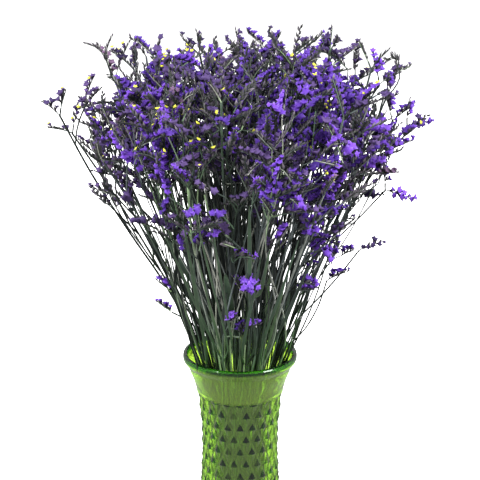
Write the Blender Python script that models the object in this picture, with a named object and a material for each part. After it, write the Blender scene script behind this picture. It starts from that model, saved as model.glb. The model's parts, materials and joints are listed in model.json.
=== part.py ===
"""Dried statice in a pressed-glass vase.

A bunch of cut statice sprays stands in a waisted green glass vase with a diamond-cut wall.
Each spray is one grown piece: a stalk, its twigs, its spikes of florets and its leaves.
Metres, +Z up, origin at the middle of the vase's base, +Y away from the viewer.
"""

import math
import random

import bmesh
import bpy
import numpy as np
from mathutils import Quaternion, Vector

# Vase: height and radius of each turned ring, and the diamond-cut belt between foot and collar
DIAMONDS_AROUND = 20
DIAMOND_ROWS = 12
BELT_BOTTOM = 0.0375
BELT_TOP = 0.1975
RELIEF = 0.0018
BELT = (
    (0.0375, 0.0462),
    (0.0700, 0.0430),
    (0.0980, 0.0411),
    (0.1300, 0.0394),
    (0.1560, 0.0394),
    (0.1820, 0.0415),
    (0.1975, 0.0432),
)
FOOT = ((0.0, 0.0440), (0.0030, 0.0472), (0.0330, 0.0470))
COLLAR = (
    (0.2030, 0.0440),
    (0.2220, 0.0503),
    (0.2275, 0.0520),
    (0.2320, 0.0564),
    (0.2370, 0.0570),
    (0.2400, 0.0545),
)
BORE = (
    (0.2330, 0.0508),
    (0.2220, 0.0474),
    (0.2000, 0.0405),
    (0.1600, 0.0356),
    (0.1200, 0.0360),
    (0.0160, 0.0410),
    (0.0100, 0.0390),
)

# Bunch: height and radius of the outermost stalk, and how the stalks spread and end
FLOOR_TOP = 0.0100
SEAT_GAP = 0.0003
FAN = (
    (0.0100, 0.0270),
    (0.1400, 0.0290),
    (0.1970, 0.0335),
    (0.2360, 0.0470),
    (0.2900, 0.0690),
    (0.3450, 0.0980),
    (0.4000, 0.1280),
    (0.4500, 0.1550),
    (0.5000, 0.1820),
    (0.5600, 0.2150),
)
SPRAYS = 36
SEED = 11
GOLDEN_ANGLE = math.pi * (3 - math.sqrt(5))
RIM = 0.236
TWIST_IN_VASE = math.radians(50)
CROWN_TOP = 0.534
CROWN_DROP = 0.070
CROWN_CURVE = 4
END_CURVE = 1.5
LAYERS = (0.0, 0.035, 0.075)
LAYER_DEPTH = 0.025
WANDER = 0.014
STALK_RINGS = 9
STALK_RADIUS = 0.0013
STALK_RADII = (STALK_RADIUS, 0.0010)
TWIG_RADIUS = 0.0008
TWIG_RADII = (TWIG_RADIUS, TWIG_RADIUS)
WING_EVERY = 4
WING_WIDTH = 0.0030
WING_SPAN = 0.170
WING_FLATNESS = 0.35
LEAF_EVERY = 3
LEAF_HEIGHTS = (0.245, 0.330)
LEAF_LENGTH = (0.055, 0.085)
LEAF_WIDTH = 0.0036
LEAF_LEAN = 0.4
LEAF_TURN = math.radians(100)
LEAF_TAPER = (0.15, 0.80)
LEAF_RINGS = 5

# Spikes: where their whorls of florets stand, and how far florets and gaps reach, as shares
WHORLS = (0.20, 0.37, 0.54, 0.71, 0.87)
WHORL_SIZES = (0.72, 0.95, 1.0, 0.90, 0.66)
TOP_FLORET = 0.90
TOP_GAP = 0.26
FLANK_FLORET = 1.0
FLANK_GAP = 0.36
FORWARD = 0.40
SPIKE_LENGTH = (0.030, 0.040)
SPIKE_RADIUS = 0.0056
SPIKE_BOW = (-0.25, 0.15)
SPIKE_ROLL = 1.2
BUD_RADIUS = 0.0024
BUD_LENGTH = 0.7
BUD_SHARE = 0.12

# Forks and twigs: angles in radians, and the room that each one leaves
FORK_STEM = 0.007
FORK_ROLL = 0.9
FIRST_TURN = (0.35, 0.60)
SECOND_TURN = (0.65, 0.90)
SECOND_LENGTH = (0.75, 1.10)
LONE_TURN = (-0.2, 0.2)
GATE = 0.0012
GATE_ROOM = 3 * GATE
GATES_APART = 5 * GATE
THIRD = math.tau / 3
TWIG_ROUNDS = ((2, 0.026, 0.055), (2, 0.050, 0.095), (1, 0.085, 0.140))
TWIG_REACH = (0.030, 0.055)
TWIG_RISE = 0.8
TWIG_SPREAD = (0.35, 0.75)
TWIG_ANGLE = math.radians(30)
TWIG_KNEE = 0.5
TWIG_RINGS = 4
LEAVE_SHIFT = 0.015
DEPTH_SHIFT = 0.040
NEAREST_STALKS = 12
CROWN_FLOOR = 0.350
FLOOR_DEPTH = 0.020
DOME_TOP = 0.566
DOME_FALL = 1.2
CROWN_RADIUS = 0.187
SIDE = 0.016
CLEARANCE = 0.0010
SAMPLE = 0.003
OWN_REACH = 0.015
TRIES = 60

# Sprays that make the outline: where each stalk ends, and the tip of its first spike
OUTLINE_TIPS = (
    ((-0.172, 0.000, 0.481), (-0.184, 0.000, 0.495)),
    ((-0.163, 0.020, 0.459), (-0.181, 0.020, 0.466)),
    ((-0.121, 0.030, 0.509), (-0.135, 0.030, 0.543)),
    ((-0.092, 0.060, 0.526), (-0.103, 0.060, 0.545)),
    ((-0.079, -0.010, 0.538), (-0.073, -0.010, 0.556)),
    ((-0.039, 0.040, 0.532), (-0.040, 0.040, 0.554)),
    ((0.029, 0.060, 0.531), (0.040, 0.060, 0.548)),
    ((0.053, 0.020, 0.536), (0.055, 0.020, 0.561)),
    ((0.085, 0.010, 0.540), (0.087, 0.010, 0.562)),
    ((0.125, 0.010, 0.524), (0.138, 0.010, 0.542)),
    ((0.140, -0.010, 0.505), (0.150, -0.010, 0.528)),
    ((0.160, 0.000, 0.471), (0.184, 0.000, 0.474)),
    ((0.149, 0.030, 0.469), (0.168, 0.030, 0.485)),
)
# Twigs under the crown: the height each leaves its stalk at, its end, its spike's tip, its spikes
LOW_TWIGS = (
    (0.330, (0.140, -0.010, 0.410), (0.166, -0.010, 0.400), 2),
    (0.270, (0.117, 0.005, 0.344), (0.135, 0.005, 0.356), 1),
    (0.262, (0.085, -0.010, 0.318), (0.101, -0.010, 0.328), 1),
    (0.258, (-0.067, -0.012, 0.309), (-0.081, -0.012, 0.320), 1),
    (0.250, (-0.068, 0.012, 0.277), (-0.082, 0.012, 0.287), 1),
    (0.320, (-0.119, 0.000, 0.402), (-0.142, 0.000, 0.412), 1),
    (0.340, (-0.138, 0.000, 0.440), (-0.158, 0.000, 0.454), 2),
    (0.320, (-0.010, -0.080, 0.395), (-0.014, -0.092, 0.420), 1),
    (0.300, (0.026, -0.074, 0.368), (0.034, -0.086, 0.388), 1),
    (0.270, (0.002, -0.062, 0.323), (-0.006, -0.072, 0.342), 1),
    (0.248, (0.000, -0.052, 0.276), (0.003, -0.058, 0.296), 1),
    (0.300, (-0.026, -0.074, 0.373), (-0.042, -0.086, 0.388), 1),
    (0.310, (0.058, -0.060, 0.370), (0.071, -0.072, 0.388), 1),
    (0.262, (0.058, -0.030, 0.312), (0.064, -0.042, 0.332), 1),
    (0.262, (0.040, 0.066, 0.318), (0.050, 0.082, 0.338), 1),
    (0.300, (-0.030, 0.090, 0.370), (-0.040, 0.106, 0.388), 1),
)

STALK_GREEN = (0.075, 0.095, 0.062, 1)
FLORET_VIOLET = (0.125, 0.040, 0.560, 1)
VASE_GREEN = (0.200, 0.360, 0.060, 1)
STALK_ROUGHNESS = 0.7
FLORET_ROUGHNESS = 0.6
GLASS_ROUGHNESS = 0.05
SHARP_ANGLE = math.radians(25)
UP = Vector((0, 0, 1))


def clear_scene():
    for obj in list(bpy.data.objects):
        bpy.data.objects.remove(obj)


def finish(name, colour, roughness, transmission=0.0):
    """One material of the object."""
    material = bpy.data.materials.new(name)
    material.use_nodes = True
    shader = material.node_tree.nodes["Principled BSDF"]
    shader.inputs["Base Color"].default_value = colour
    shader.inputs["Roughness"].default_value = roughness
    shader.inputs["Metallic"].default_value = 0.0
    shader.inputs["Transmission Weight"].default_value = transmission
    return material


def smooth_value(stations, at):
    """The value at a place along (place, value) stations, on cubic spans."""
    places = [place for place, _ in stations]
    values = [value for _, value in stations]
    slopes = np.gradient(values, places)
    span = min(max(int(np.searchsorted(places, at)) - 1, 0), len(places) - 2)
    width = places[span + 1] - places[span]
    t = (at - places[span]) / width
    start = (1 + 2 * t) * (1 - t) ** 2 * values[span] + t * (1 - t) ** 2 * width * slopes[span]
    end = t * t * (3 - 2 * t) * values[span + 1] + t * t * (t - 1) * width * slopes[span + 1]
    return float(start + end)


def across(heading):
    """Two unit vectors square to a heading: the one nearest up, and the one beside it."""
    side = heading.cross(UP)
    if side.length < 1e-6:
        side = heading.cross(Vector((1, 0, 0)))
    side.normalize()
    return side.cross(heading).normalized(), side


def any_way_off(heading, rng):
    """A unit vector square to a heading, turned about it by chance."""
    up, side = across(heading)
    turn = rng.uniform(0, math.tau)
    return side * math.cos(turn) + up * math.sin(turn)


def end_heading(line):
    return (line[-1] - line[-2]).normalized()


def measured(line):
    """The distance along a line to each of its points."""
    lengths = [0.0]
    for a, b in zip(line, line[1:]):
        lengths.append(lengths[-1] + (b - a).length)
    return lengths


def point_along(line, at):
    """The point at a distance along a line, and the line's heading there."""
    for a, b in zip(line, line[1:]):
        step = (b - a).length
        if at <= step or b is line[-1]:
            return a.lerp(b, at / step), (b - a).normalized()
        at -= step


def length_to_height(line, height):
    """The distance along a rising line to a height."""
    for i, (a, b) in enumerate(zip(line, line[1:])):
        if b.z >= height:
            return measured(line)[i] + (b - a).length * (height - a.z) / (b.z - a.z)
    return measured(line)[-1]


def stalk_at(leader, height):
    return point_along(leader.stem, length_to_height(leader.stem, height))[0]


def branch_line(start, heading, end, rings):
    """A line that leaves start at the twig angle from heading and curves to end."""
    reach = end - start
    away = (reach - heading * reach.dot(heading)).normalized()
    way_out = heading * math.cos(TWIG_ANGLE) + away * math.sin(TWIG_ANGLE)
    knee = start + way_out * reach.length * TWIG_KNEE
    steps = [i / (rings - 1) for i in range(rings)]
    return [(1 - t) ** 2 * start + 2 * t * (1 - t) * knee + t * t * end for t in steps]


class Shoot:
    """One axis of a spray: a stem, a spike of florets at its end, and the shoots that leave it."""

    def __init__(self, stem, radii, face, spike=(), reach=0.0, at=0.0, wing=0.0):
        self.stem = stem
        self.radii = radii
        self.face = face
        self.spike = list(spike)
        self.reach = reach
        self.at = at
        self.wing = wing
        self.children = []


class Room:
    """The space that the sprays already take, as balls along their lines."""

    def __init__(self):
        self.points = np.empty((0, 3))
        self.radii = np.empty(0)
        self.owners = np.empty(0, int)

    def sampled(self, line):
        out = []
        for a, b in zip(line, line[1:]):
            count = max(1, math.ceil((b - a).length / SAMPLE))
            out += [a.lerp(b, i / count) for i in range(count)]
        return np.array([tuple(point) for point in out + [line[-1]]])

    def take(self, line, radius, owner):
        points = self.sampled(line)
        self.points = np.vstack([self.points, points])
        self.radii = np.append(self.radii, np.full(len(points), radius))
        self.owners = np.append(self.owners, np.full(len(points), owner))

    def is_free(self, line, radius, owner, root):
        """Whether a line is clear of other sprays, and of its own spray away from its root."""
        points = self.sampled(line)
        margin = radius + SPIKE_RADIUS + CLEARANCE
        near = np.all(self.points > points.min(axis=0) - margin, axis=1)
        near &= np.all(self.points < points.max(axis=0) + margin, axis=1)
        away = np.linalg.norm(self.points[near] - np.array(root), axis=1) > OWN_REACH
        near[near] = (self.owners[near] != owner) | away
        if not near.any():
            return True
        apart = np.linalg.norm(points[:, None] - self.points[near][None], axis=2)
        return bool((apart - self.radii[near]).min() > radius + CLEARANCE)


def fan_point(share, angle, height):
    """A place in the bunch: share of the way out, angle about the axis, and height."""
    turned = angle - TWIST_IN_VASE * (1 - min(height / RIM, 1))
    radius = share * smooth_value(FAN, height)
    return Vector((radius * math.cos(turned), radius * math.sin(turned), height))


def stalk_plans():
    """For each spray: its share and angle, where its stalk ends, and its first spike's tip if set."""
    rng = random.Random(SEED)
    plans = []
    for k in range(SPRAYS):
        share = math.sqrt((k + 0.5) / SPRAYS)
        angle = k * GOLDEN_ANGLE
        below = LAYERS[k % len(LAYERS)] + rng.uniform(0.0, LAYER_DEPTH)
        height = CROWN_TOP - CROWN_DROP * share**CROWN_CURVE - below
        plans.append([share, angle, fan_point(share, angle, height), None])
    free = set(range(SPRAYS))
    for stalk_end, spike_tip in OUTLINE_TIPS:
        nearest = min(free, key=lambda k: (plans[k][2] - Vector(stalk_end)).length)
        plans[nearest][2:] = [Vector(stalk_end), Vector(spike_tip)]
        free.remove(nearest)
    return plans


def stalk_line(share, angle, end, sway):
    """A stalk from the vase's floor to its end, with a slow sway above the rim."""
    bottom = FLOOR_TOP + SEAT_GAP
    shift = end - fan_point(share, angle, end.z)
    line = []
    for i in range(STALK_RINGS):
        height = bottom + (end.z - bottom) * i / (STALK_RINGS - 1)
        above = max(0.0, (height - RIM) / (end.z - RIM))
        swing = math.sin(math.pi * above) * above
        line.append(fan_point(share, angle, height) + shift * above**END_CURVE + sway * swing)
    return line


def spike_line(base, direction, length, bow):
    """A spike's whorls and tip, which bow away from its direction."""
    return [base + direction * length * t + bow * length * t * t for t in WHORLS + (1.0,)]


def faced(direction, rng):
    """The way a spike's top faces: up, turned about the spike by chance."""
    return Quaternion(direction, rng.uniform(-SPIKE_ROLL, SPIKE_ROLL)) @ across(direction)[0]


def spike_shoots(stem, radii, rng, count, first_tip=None, at=0.0, wing=0.0):
    """A stem that ends in a spike, with a second spike that leaves just under its end."""
    base = stem[-1]
    heading = end_heading(stem)
    up, side = across(heading)
    roll = rng.uniform(-FORK_ROLL, FORK_ROLL)
    spread = side * math.cos(roll) + up * math.sin(roll)
    reach = BUD_RADIUS if rng.random() < BUD_SHARE else SPIKE_RADIUS
    turn = rng.uniform(*FIRST_TURN) if count > 1 else rng.uniform(*LONE_TURN)
    first = heading * math.cos(turn) + spread * math.sin(turn)
    length = rng.uniform(*SPIKE_LENGTH) * (1 if reach == SPIKE_RADIUS else BUD_LENGTH)
    if first_tip:
        first = (first_tip - base).normalized()
        length = (first_tip - base).length
        spread = (first - heading * first.dot(heading)).normalized()
    spike = spike_line(base, first, length, up * rng.uniform(*SPIKE_BOW))
    shoot = Shoot(stem, radii, faced(first, rng), spike, reach, at, wing)
    if count > 1:
        turn = rng.uniform(*SECOND_TURN)
        second = heading * math.cos(turn) - spread * math.sin(turn)
        start = base + second * FORK_STEM
        fork_at = measured(stem)[-1] - GATE
        fork_stem = [point_along(stem, fork_at)[0], start]
        length = length * rng.uniform(*SECOND_LENGTH)
        spike = spike_line(start, second, length, up * rng.uniform(*SPIKE_BOW))
        shoot.children = [Shoot(fork_stem, TWIG_RADII, faced(second, rng), spike, reach, fork_at)]
    return shoot


def in_crown(point):
    """Whether a point is under the crown's dome and within its sides."""
    radius = math.hypot(point.x, point.y)
    widest = min(CROWN_RADIUS, smooth_value(FAN, point.z) + SIDE)
    return point.z < DOME_TOP - DOME_FALL * radius**2 and radius < widest


def fits(shoot, room, owner, root, stem_too=True, free_tip=False):
    """Whether there is room for a shoot's stem and spike, and for those of its forks."""
    if not free_tip and not in_crown(shoot.spike[-1]):
        return False
    if stem_too and not room.is_free(shoot.stem, max(shoot.radii), owner, root):
        return False
    if not room.is_free([shoot.stem[-1]] + shoot.spike, shoot.reach, owner, root):
        return False
    return all(fits(child, room, owner, root) for child in shoot.children)


def settle(shoot, room, owner, stem_too=True):
    if stem_too:
        room.take(shoot.stem, max(shoot.radii), owner)
    room.take([shoot.stem[-1]] + shoot.spike, shoot.reach, owner)
    for child in shoot.children:
        settle(child, room, owner)


def gate_is_free(parent, at):
    return all(abs(child.at - at) > GATES_APART for child in parent.children)


def grow_leaders(room):
    """The stalks, each with the fork of spikes at its end."""
    stalks = []
    for k, (share, angle, end, first_tip) in enumerate(stalk_plans()):
        rng = random.Random(SEED * 1000 + k)
        for attempt in range(TRIES):
            reach = WANDER * (1 - attempt / TRIES)
            sway = Vector((rng.uniform(-reach, reach), rng.uniform(-reach, reach), 0))
            line = stalk_line(share, angle, end, sway)
            if room.is_free(line, WING_WIDTH, k, line[0]):
                break
        room.take(line, STALK_RADIUS, k)
        stalks.append((line, first_tip, rng))
    leaders = []
    for k, (line, first_tip, rng) in enumerate(stalks):
        wing = WING_WIDTH if k % WING_EVERY == 1 else 0.0
        for attempt in range(TRIES):
            count = 2 if attempt < TRIES / 2 else 1
            leader = spike_shoots(line, STALK_RADII, rng, count, first_tip, wing=wing)
            if fits(leader, room, k, line[-1], stem_too=False, free_tip=first_tip):
                break
        settle(leader, room, k, stem_too=False)
        leaders.append(leader)
    return leaders, [rng for _, _, rng in stalks]


def grow_low_twigs(leaders, room):
    """The twigs under the crown; one that finds no room moves further and further in depth."""
    for number, (leaving, end, tip, count) in enumerate(LOW_TWIGS):
        rng = random.Random(SEED * 77 + number)
        nearest = sorted(
            range(SPRAYS), key=lambda k: (stalk_at(leaders[k], end[2]) - Vector(end)).length
        )
        for attempt in range(TRIES):
            reach = DEPTH_SHIFT * attempt / TRIES
            shift = Vector((0, rng.uniform(-reach, reach), 0))
            k = nearest[attempt % NEAREST_STALKS]
            height = leaving + rng.uniform(-LEAVE_SHIFT, LEAVE_SHIFT)
            at = length_to_height(leaders[k].stem, max(height, LEAF_HEIGHTS[0]))
            start, heading = point_along(leaders[k].stem, at)
            stem = branch_line(start, heading, Vector(end) + shift, TWIG_RINGS)
            twig = spike_shoots(stem, TWIG_RADII, rng, count, Vector(tip) + shift, at)
            if gate_is_free(leaders[k], at) and fits(twig, room, k, start, free_tip=True):
                settle(twig, room, k)
                leaders[k].children.append(twig)
                break


def grow_twigs(leaders, rngs, room):
    for count, least, most in TWIG_ROUNDS:
        for k, (leader, rng) in enumerate(zip(leaders, rngs)):
            total = measured(leader.stem)[-1]
            lowest = length_to_height(leader.stem, CROWN_FLOOR)
            for _ in range(TRIES):
                at = max(total - rng.uniform(least, most), lowest + rng.uniform(0, FLOOR_DEPTH))
                start, heading = point_along(leader.stem, at)
                away = any_way_off(heading, rng)
                reach = rng.uniform(*TWIG_REACH)
                end = start + heading * reach * TWIG_RISE + away * reach * rng.uniform(*TWIG_SPREAD)
                stem = branch_line(start, heading, end, TWIG_RINGS)
                twig = spike_shoots(stem, TWIG_RADII, rng, count, at=at)
                if gate_is_free(leader, at) and fits(twig, room, k, start):
                    settle(twig, room, k)
                    leader.children.append(twig)
                    break


def grow_leaves(leaders, rngs, room):
    for k in range(0, SPRAYS, LEAF_EVERY):
        leader, rng = leaders[k], rngs[k]
        for _ in range(TRIES):
            at = length_to_height(leader.stem, rng.uniform(*LEAF_HEIGHTS))
            start, heading = point_along(leader.stem, at)
            away = any_way_off(heading, rng)
            reach = rng.uniform(*LEAF_LENGTH)
            end = start + (heading + away * LEAF_LEAN) * reach
            stem = branch_line(start, heading, end, LEAF_RINGS)
            leaf = Shoot(stem, TWIG_RADII, away, at=at, wing=LEAF_WIDTH)
            if math.hypot(end.x, end.y) > smooth_value(FAN, end.z):
                continue
            if gate_is_free(leader, at) and room.is_free(stem, LEAF_WIDTH, k, start):
                room.take(stem, LEAF_WIDTH, k)
                leader.children.append(leaf)
                break


def grow():
    room = Room()
    leaders, rngs = grow_leaders(room)
    grow_low_twigs(leaders, room)
    grow_twigs(leaders, rngs, room)
    grow_leaves(leaders, rngs, room)
    return leaders


def carried_frames(points, start, up):
    """Heading, up and side at each point of a line, carried both ways from one point without twist."""
    last = len(points) - 1
    headings = [(points[min(i + 1, last)] - points[max(i - 1, 0)]).normalized() for i in range(last + 1)]
    ups = [None] * len(points)
    for order in (range(start, last + 1), range(start, -1, -1)):
        carried = up
        for i in order:
            carried = (carried - headings[i] * carried.dot(headings[i])).normalized()
            ups[i] = carried
    return [(heading, lift, heading.cross(lift)) for heading, lift in zip(headings, ups)]


def three_corners(point, lift, side, top, flank, turn=THIRD):
    """A ring of three corners: one over the line, and one on each flank."""
    low = lift * math.cos(turn) * flank
    out = side * math.sin(turn) * flank
    return [point + lift * top, point + low + out, point + low - out]


def stem_ring(shoot, share, frame, point):
    """A ring round a stem, drawn out flat where it is winged or a leaf."""
    _, lift, side = frame
    radius = shoot.radii[0] + (shoot.radii[1] - shoot.radii[0]) * share
    if shoot.wing and not shoot.spike:
        start, span = LEAF_TAPER
        flank = shoot.wing * math.sin(math.pi * (start + span * share))
        return three_corners(point, lift, side, radius, flank, LEAF_TURN)
    if shoot.wing and RIM < point.z < RIM + WING_SPAN:
        full = math.sin(math.pi * (point.z - RIM) / WING_SPAN)
        flank = radius + (shoot.wing - radius) * full
        return three_corners(point, lift, side, radius, flank, THIRD - WING_FLATNESS * full)
    return three_corners(point, lift, side, radius, radius)


def whorl_ring(shoot, number, frame, point):
    """A ring of a spike: its flanks stand out as florets in one whorl, its top in the next."""
    heading, lift, side = frame
    full = shoot.reach * WHORL_SIZES[number]
    push = heading * shoot.reach * FORWARD
    if number % 2 == 0:
        top, left, right = three_corners(point, lift, side, full * TOP_GAP, full * FLANK_FLORET)
        return [top, left + push, right + push]
    top, left, right = three_corners(point, lift, side, full * TOP_FLORET, full * FLANK_GAP)
    return [top + push, left, right]


def stations(shoot):
    """The places along a stem that get a ring: its own points, and a close pair at each gate."""
    own = measured(shoot.stem)
    gates = shoot.children
    kept = [at for at in own[1:-1] if all(abs(at - child.at) > GATE_ROOM for child in gates)]
    pairs = [at for child in gates for at in (child.at - GATE, min(child.at + GATE, own[-1]))]
    return sorted(set([own[0]] + kept + pairs + [own[-1]]))


def gate_ring(gate, radius, frame, point):
    """Three corners round a point that line up with those of the gate behind it."""
    heading = frame[0]
    middle = sum((corner.co for corner in gate), Vector()) / 3
    corners = []
    for corner in gate:
        out = corner.co - middle
        corners.append(point + (out - heading * out.dot(heading)).normalized() * radius)
    return corners


def band_triangles(low, high):
    """The six triangles between two rings, each side split across its shorter way."""
    triangles = []
    for i in range(3):
        j = (i + 1) % 3
        if (low[i].co - high[j].co).length < (low[j].co - high[i].co).length:
            triangles += [(low[i], low[j], high[j]), (low[i], high[j], high[i])]
        else:
            triangles += [(low[i], low[j], high[i]), (low[j], high[j], high[i])]
    return triangles


def turned_to_meet(rings, ring):
    """Rings whose corners are counted from the one that best meets an earlier ring's first corner."""
    turned = [rings[0][turn:] + rings[0][:turn] for turn in range(3)]
    gaps = [sum((a - b).length_squared for a, b in zip(ring, corners)) for corners in turned]
    turn = gaps.index(min(gaps))
    return [corners[turn:] + corners[:turn] for corners in rings]


def shoot_rings(shoot, places, points, frames, gate):
    """The rings along a shoot, the tip left out; past a gate the first ones line up with it."""
    rings = []
    for i, (point, frame) in enumerate(zip(points[:-1], frames)):
        if i < len(places):
            rings.append(stem_ring(shoot, places[i] / places[-1], frame, point))
        else:
            rings.append(whorl_ring(shoot, i - len(places), frame, point))
    if gate:
        second = gate_ring(gate, shoot.radii[0], frames[1], points[1])
        rings[1:] = [second] + turned_to_meet(rings[2:], second)
    return rings


def facing_triangle(triangles, away):
    """The place in a list of the triangle that faces a direction best."""
    normals = [(b.co - a.co).cross(c.co - a.co).normalized() for a, b, c in triangles]
    turned = [normal.dot(away) for normal in normals]
    return turned.index(max(turned))


def skin(bm, shoot, gate=None):
    """Builds a shoot's skin out from a cut end, or from a gate: a face left open on its parent."""
    places = stations(shoot)
    points = [point_along(shoot.stem, at)[0] for at in places] + shoot.spike
    frames = carried_frames(points, len(places) - 1, shoot.face)
    rings = shoot_rings(shoot, places, points, frames, gate)
    loops = [gate or [bm.verts.new(corner) for corner in rings[0]]]
    loops += [[bm.verts.new(corner) for corner in ring] for ring in rings[1:]]
    if not gate:
        bm.faces.new(loops[0][::-1])
    bare = len(places) - 1 if shoot.spike else len(points)
    gates = {}
    for child in shoot.children:
        gates[min(range(len(places)), key=lambda i: abs(places[i] + GATE - child.at))] = child
    for band, (low, high) in enumerate(zip(loops, loops[1:])):
        triangles = band_triangles(low, high)
        if band in gates:
            heading = frames[band][0]
            away = gates[band].stem[1] - gates[band].stem[0]
            away -= heading * away.dot(heading)
            skin(bm, gates[band], list(triangles.pop(facing_triangle(triangles, away))))
        for triangle in triangles:
            bm.faces.new(triangle).material_index = int(band >= bare)
    tip = bm.verts.new(points[-1])
    for i in range(3):
        face = bm.faces.new((loops[-1][i], loops[-1][(i + 1) % 3], tip))
        face.material_index = int(len(loops) > bare)


def new_object(name, bm, materials):
    mesh = bpy.data.meshes.new(name)
    bm.to_mesh(mesh)
    bm.free()
    mesh.shade_smooth()
    mesh.set_sharp_from_angle(angle=SHARP_ANGLE)
    for material in materials:
        mesh.materials.append(material)
    obj = bpy.data.objects.new(name, mesh)
    bpy.context.scene.collection.objects.link(obj)
    return obj


def build_spray(number, leader, materials):
    bm = bmesh.new()
    skin(bm, leader)
    return new_object(f"spray_{number + 1:02d}", bm, materials)


def build_vase(glass):
    """The vase: a turned wall whose outside carries rows of diamond-cut points."""
    columns = 2 * DIAMONDS_AROUND
    pitch = (BELT_TOP - BELT_BOTTOM) / DIAMOND_ROWS
    outline = [(height, radius, None) for height, radius in FOOT]
    for row in range(DIAMOND_ROWS + 1):
        height = BELT_BOTTOM + row * pitch
        outline.append((height, smooth_value(BELT, height), row))
    outline += [(height, radius, None) for height, radius in COLLAR + BORE]
    bm = bmesh.new()
    loops = []
    for height, radius, row in outline:
        loop = []
        for column in range(columns):
            angle = 2 * math.pi * column / columns
            low = row is not None and (row + column) % 2
            reach = radius - (RELIEF if low else 0)
            loop.append(bm.verts.new((reach * math.cos(angle), reach * math.sin(angle), height)))
        loops.append(loop)
    for (_, _, row), low, high in zip(outline, loops, loops[1:]):
        for i in range(columns):
            j = (i + 1) % columns
            if row is None:
                bm.faces.new((low[i], low[j], high[j], high[i]))
            elif (row + i) % 2:
                bm.faces.new((low[i], low[j], high[j]))
                bm.faces.new((low[i], high[j], high[i]))
            else:
                bm.faces.new((low[i], low[j], high[i]))
                bm.faces.new((low[j], high[j], high[i]))
    bm.faces.new(loops[0][::-1])
    bm.faces.new(loops[-1])
    bmesh.ops.recalc_face_normals(bm, faces=bm.faces)
    return new_object("vase", bm, [glass])


def main():
    clear_scene()
    build_vase(finish("green_glass", VASE_GREEN, GLASS_ROUGHNESS, transmission=1.0))
    materials = [
        finish("stalk_green", STALK_GREEN, STALK_ROUGHNESS),
        finish("floret_violet", FLORET_VIOLET, FLORET_ROUGHNESS),
    ]
    for number, leader in enumerate(grow()):
        build_spray(number, leader, materials)


main()
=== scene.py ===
"""Looks of the dried statice in its pressed-glass vase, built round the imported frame.

Each spray grows along the lines of its CAD solid. Its florets, bracts and corollas are near their
true size here, and side stems and finer twigs fill the bunch. The vase is turned again with finer
cuts.
Metres, +Z up, -Y towards the viewer.
"""

import json
import math
import random

import bmesh
import bpy
import numpy as np
from mathutils import Matrix, Quaternion, Vector

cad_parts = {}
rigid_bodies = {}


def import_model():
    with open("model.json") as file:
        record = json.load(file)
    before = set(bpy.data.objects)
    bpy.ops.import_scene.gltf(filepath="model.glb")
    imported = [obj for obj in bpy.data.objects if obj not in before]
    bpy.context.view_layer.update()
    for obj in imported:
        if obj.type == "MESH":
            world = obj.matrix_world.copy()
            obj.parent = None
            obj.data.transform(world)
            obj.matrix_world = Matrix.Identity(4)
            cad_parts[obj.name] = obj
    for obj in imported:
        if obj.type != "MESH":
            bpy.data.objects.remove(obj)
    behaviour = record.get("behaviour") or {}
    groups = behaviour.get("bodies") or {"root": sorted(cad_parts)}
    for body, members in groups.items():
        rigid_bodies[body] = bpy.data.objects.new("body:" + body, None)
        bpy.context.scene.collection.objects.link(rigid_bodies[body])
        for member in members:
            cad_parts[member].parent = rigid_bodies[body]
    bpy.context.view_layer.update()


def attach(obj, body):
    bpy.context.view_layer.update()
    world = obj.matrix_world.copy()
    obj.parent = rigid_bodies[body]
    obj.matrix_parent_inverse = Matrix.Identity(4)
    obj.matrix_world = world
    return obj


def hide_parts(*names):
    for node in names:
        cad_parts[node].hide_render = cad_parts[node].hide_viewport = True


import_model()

# Camera and studio: lengths in metres, the tilt in degrees, the photograph's frame square
CAMERA_PLACE = (0.0, -1.399, 0.792)
CAMERA_TILT = 72.7
LENS = 112.5
SENSOR_WIDTH = 36.0
WORLD_STRENGTH = 0.69
FLOOR_SIZE = 24.0
# Lamps: name, place, power, and whether its glint shows
LAMPS = (
    ("left", (-1.7, -1.0, 1.8), 118, True),
    ("right", (1.8, -0.9, 1.6), 97, True),
    ("back", (0.3, 2.1, 1.5), 65, False),
)
LAMP_SIZE = 1.2
LAMPS_AIM = Vector((0, 0, 0.35))

# Vase: how many diamonds its belt has, the belt's ends, how deep they are cut, and its mesh steps
DIAMONDS_AROUND = 20
DIAMOND_ROWS = 12
BELT_BOTTOM = 0.0375
BELT_TOP = 0.1975
RELIEF = 0.0024
ROW_STEPS = 4
COLUMN_STEPS = 4
LIP_STEP = 0.0014
SHARP_ANGLE = math.radians(12)
# The painted dark upper facet of each diamond, standing for the dark stems seen through the glass, as
# shares of its own size, and where the dark lip starts
FACET_WIDTH = 0.62
FACET_BASE = 0.06
FACET_EDGE = 20.0
FACET_SLOPE = 1.10
FACET_PATCHES = 55.0
LIP_BOTTOM = 0.2340
LIP_EDGE = 500.0
# The turned rings of the wall: height and radius of each
BELT = (
    (0.0375, 0.0462),
    (0.0700, 0.0430),
    (0.0980, 0.0411),
    (0.1300, 0.0394),
    (0.1560, 0.0394),
    (0.1820, 0.0415),
    (0.1975, 0.0432),
)
FOOT = (
    (0.0, 0.0400),
    (0.0, 0.0440),
    (0.0012, 0.0462),
    (0.0035, 0.0472),
    (0.0180, 0.0471),
    (0.0330, 0.0470),
)
COLLAR = (
    (0.1990, 0.0424),
    (0.2005, 0.0438),
    (0.2030, 0.0441),
    (0.2120, 0.0465),
    (0.2220, 0.0503),
    (0.2285, 0.0522),
    (0.2325, 0.0562),
    (0.2365, 0.0571),
    (0.2393, 0.0563),
    (0.2400, 0.0545),
    (0.2388, 0.0527),
)
BORE = (
    (0.2330, 0.0508),
    (0.2220, 0.0474),
    (0.2000, 0.0405),
    (0.1600, 0.0356),
    (0.1200, 0.0360),
    (0.0160, 0.0410),
    (0.0115, 0.0403),
    (0.0100, 0.0385),
)

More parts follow.
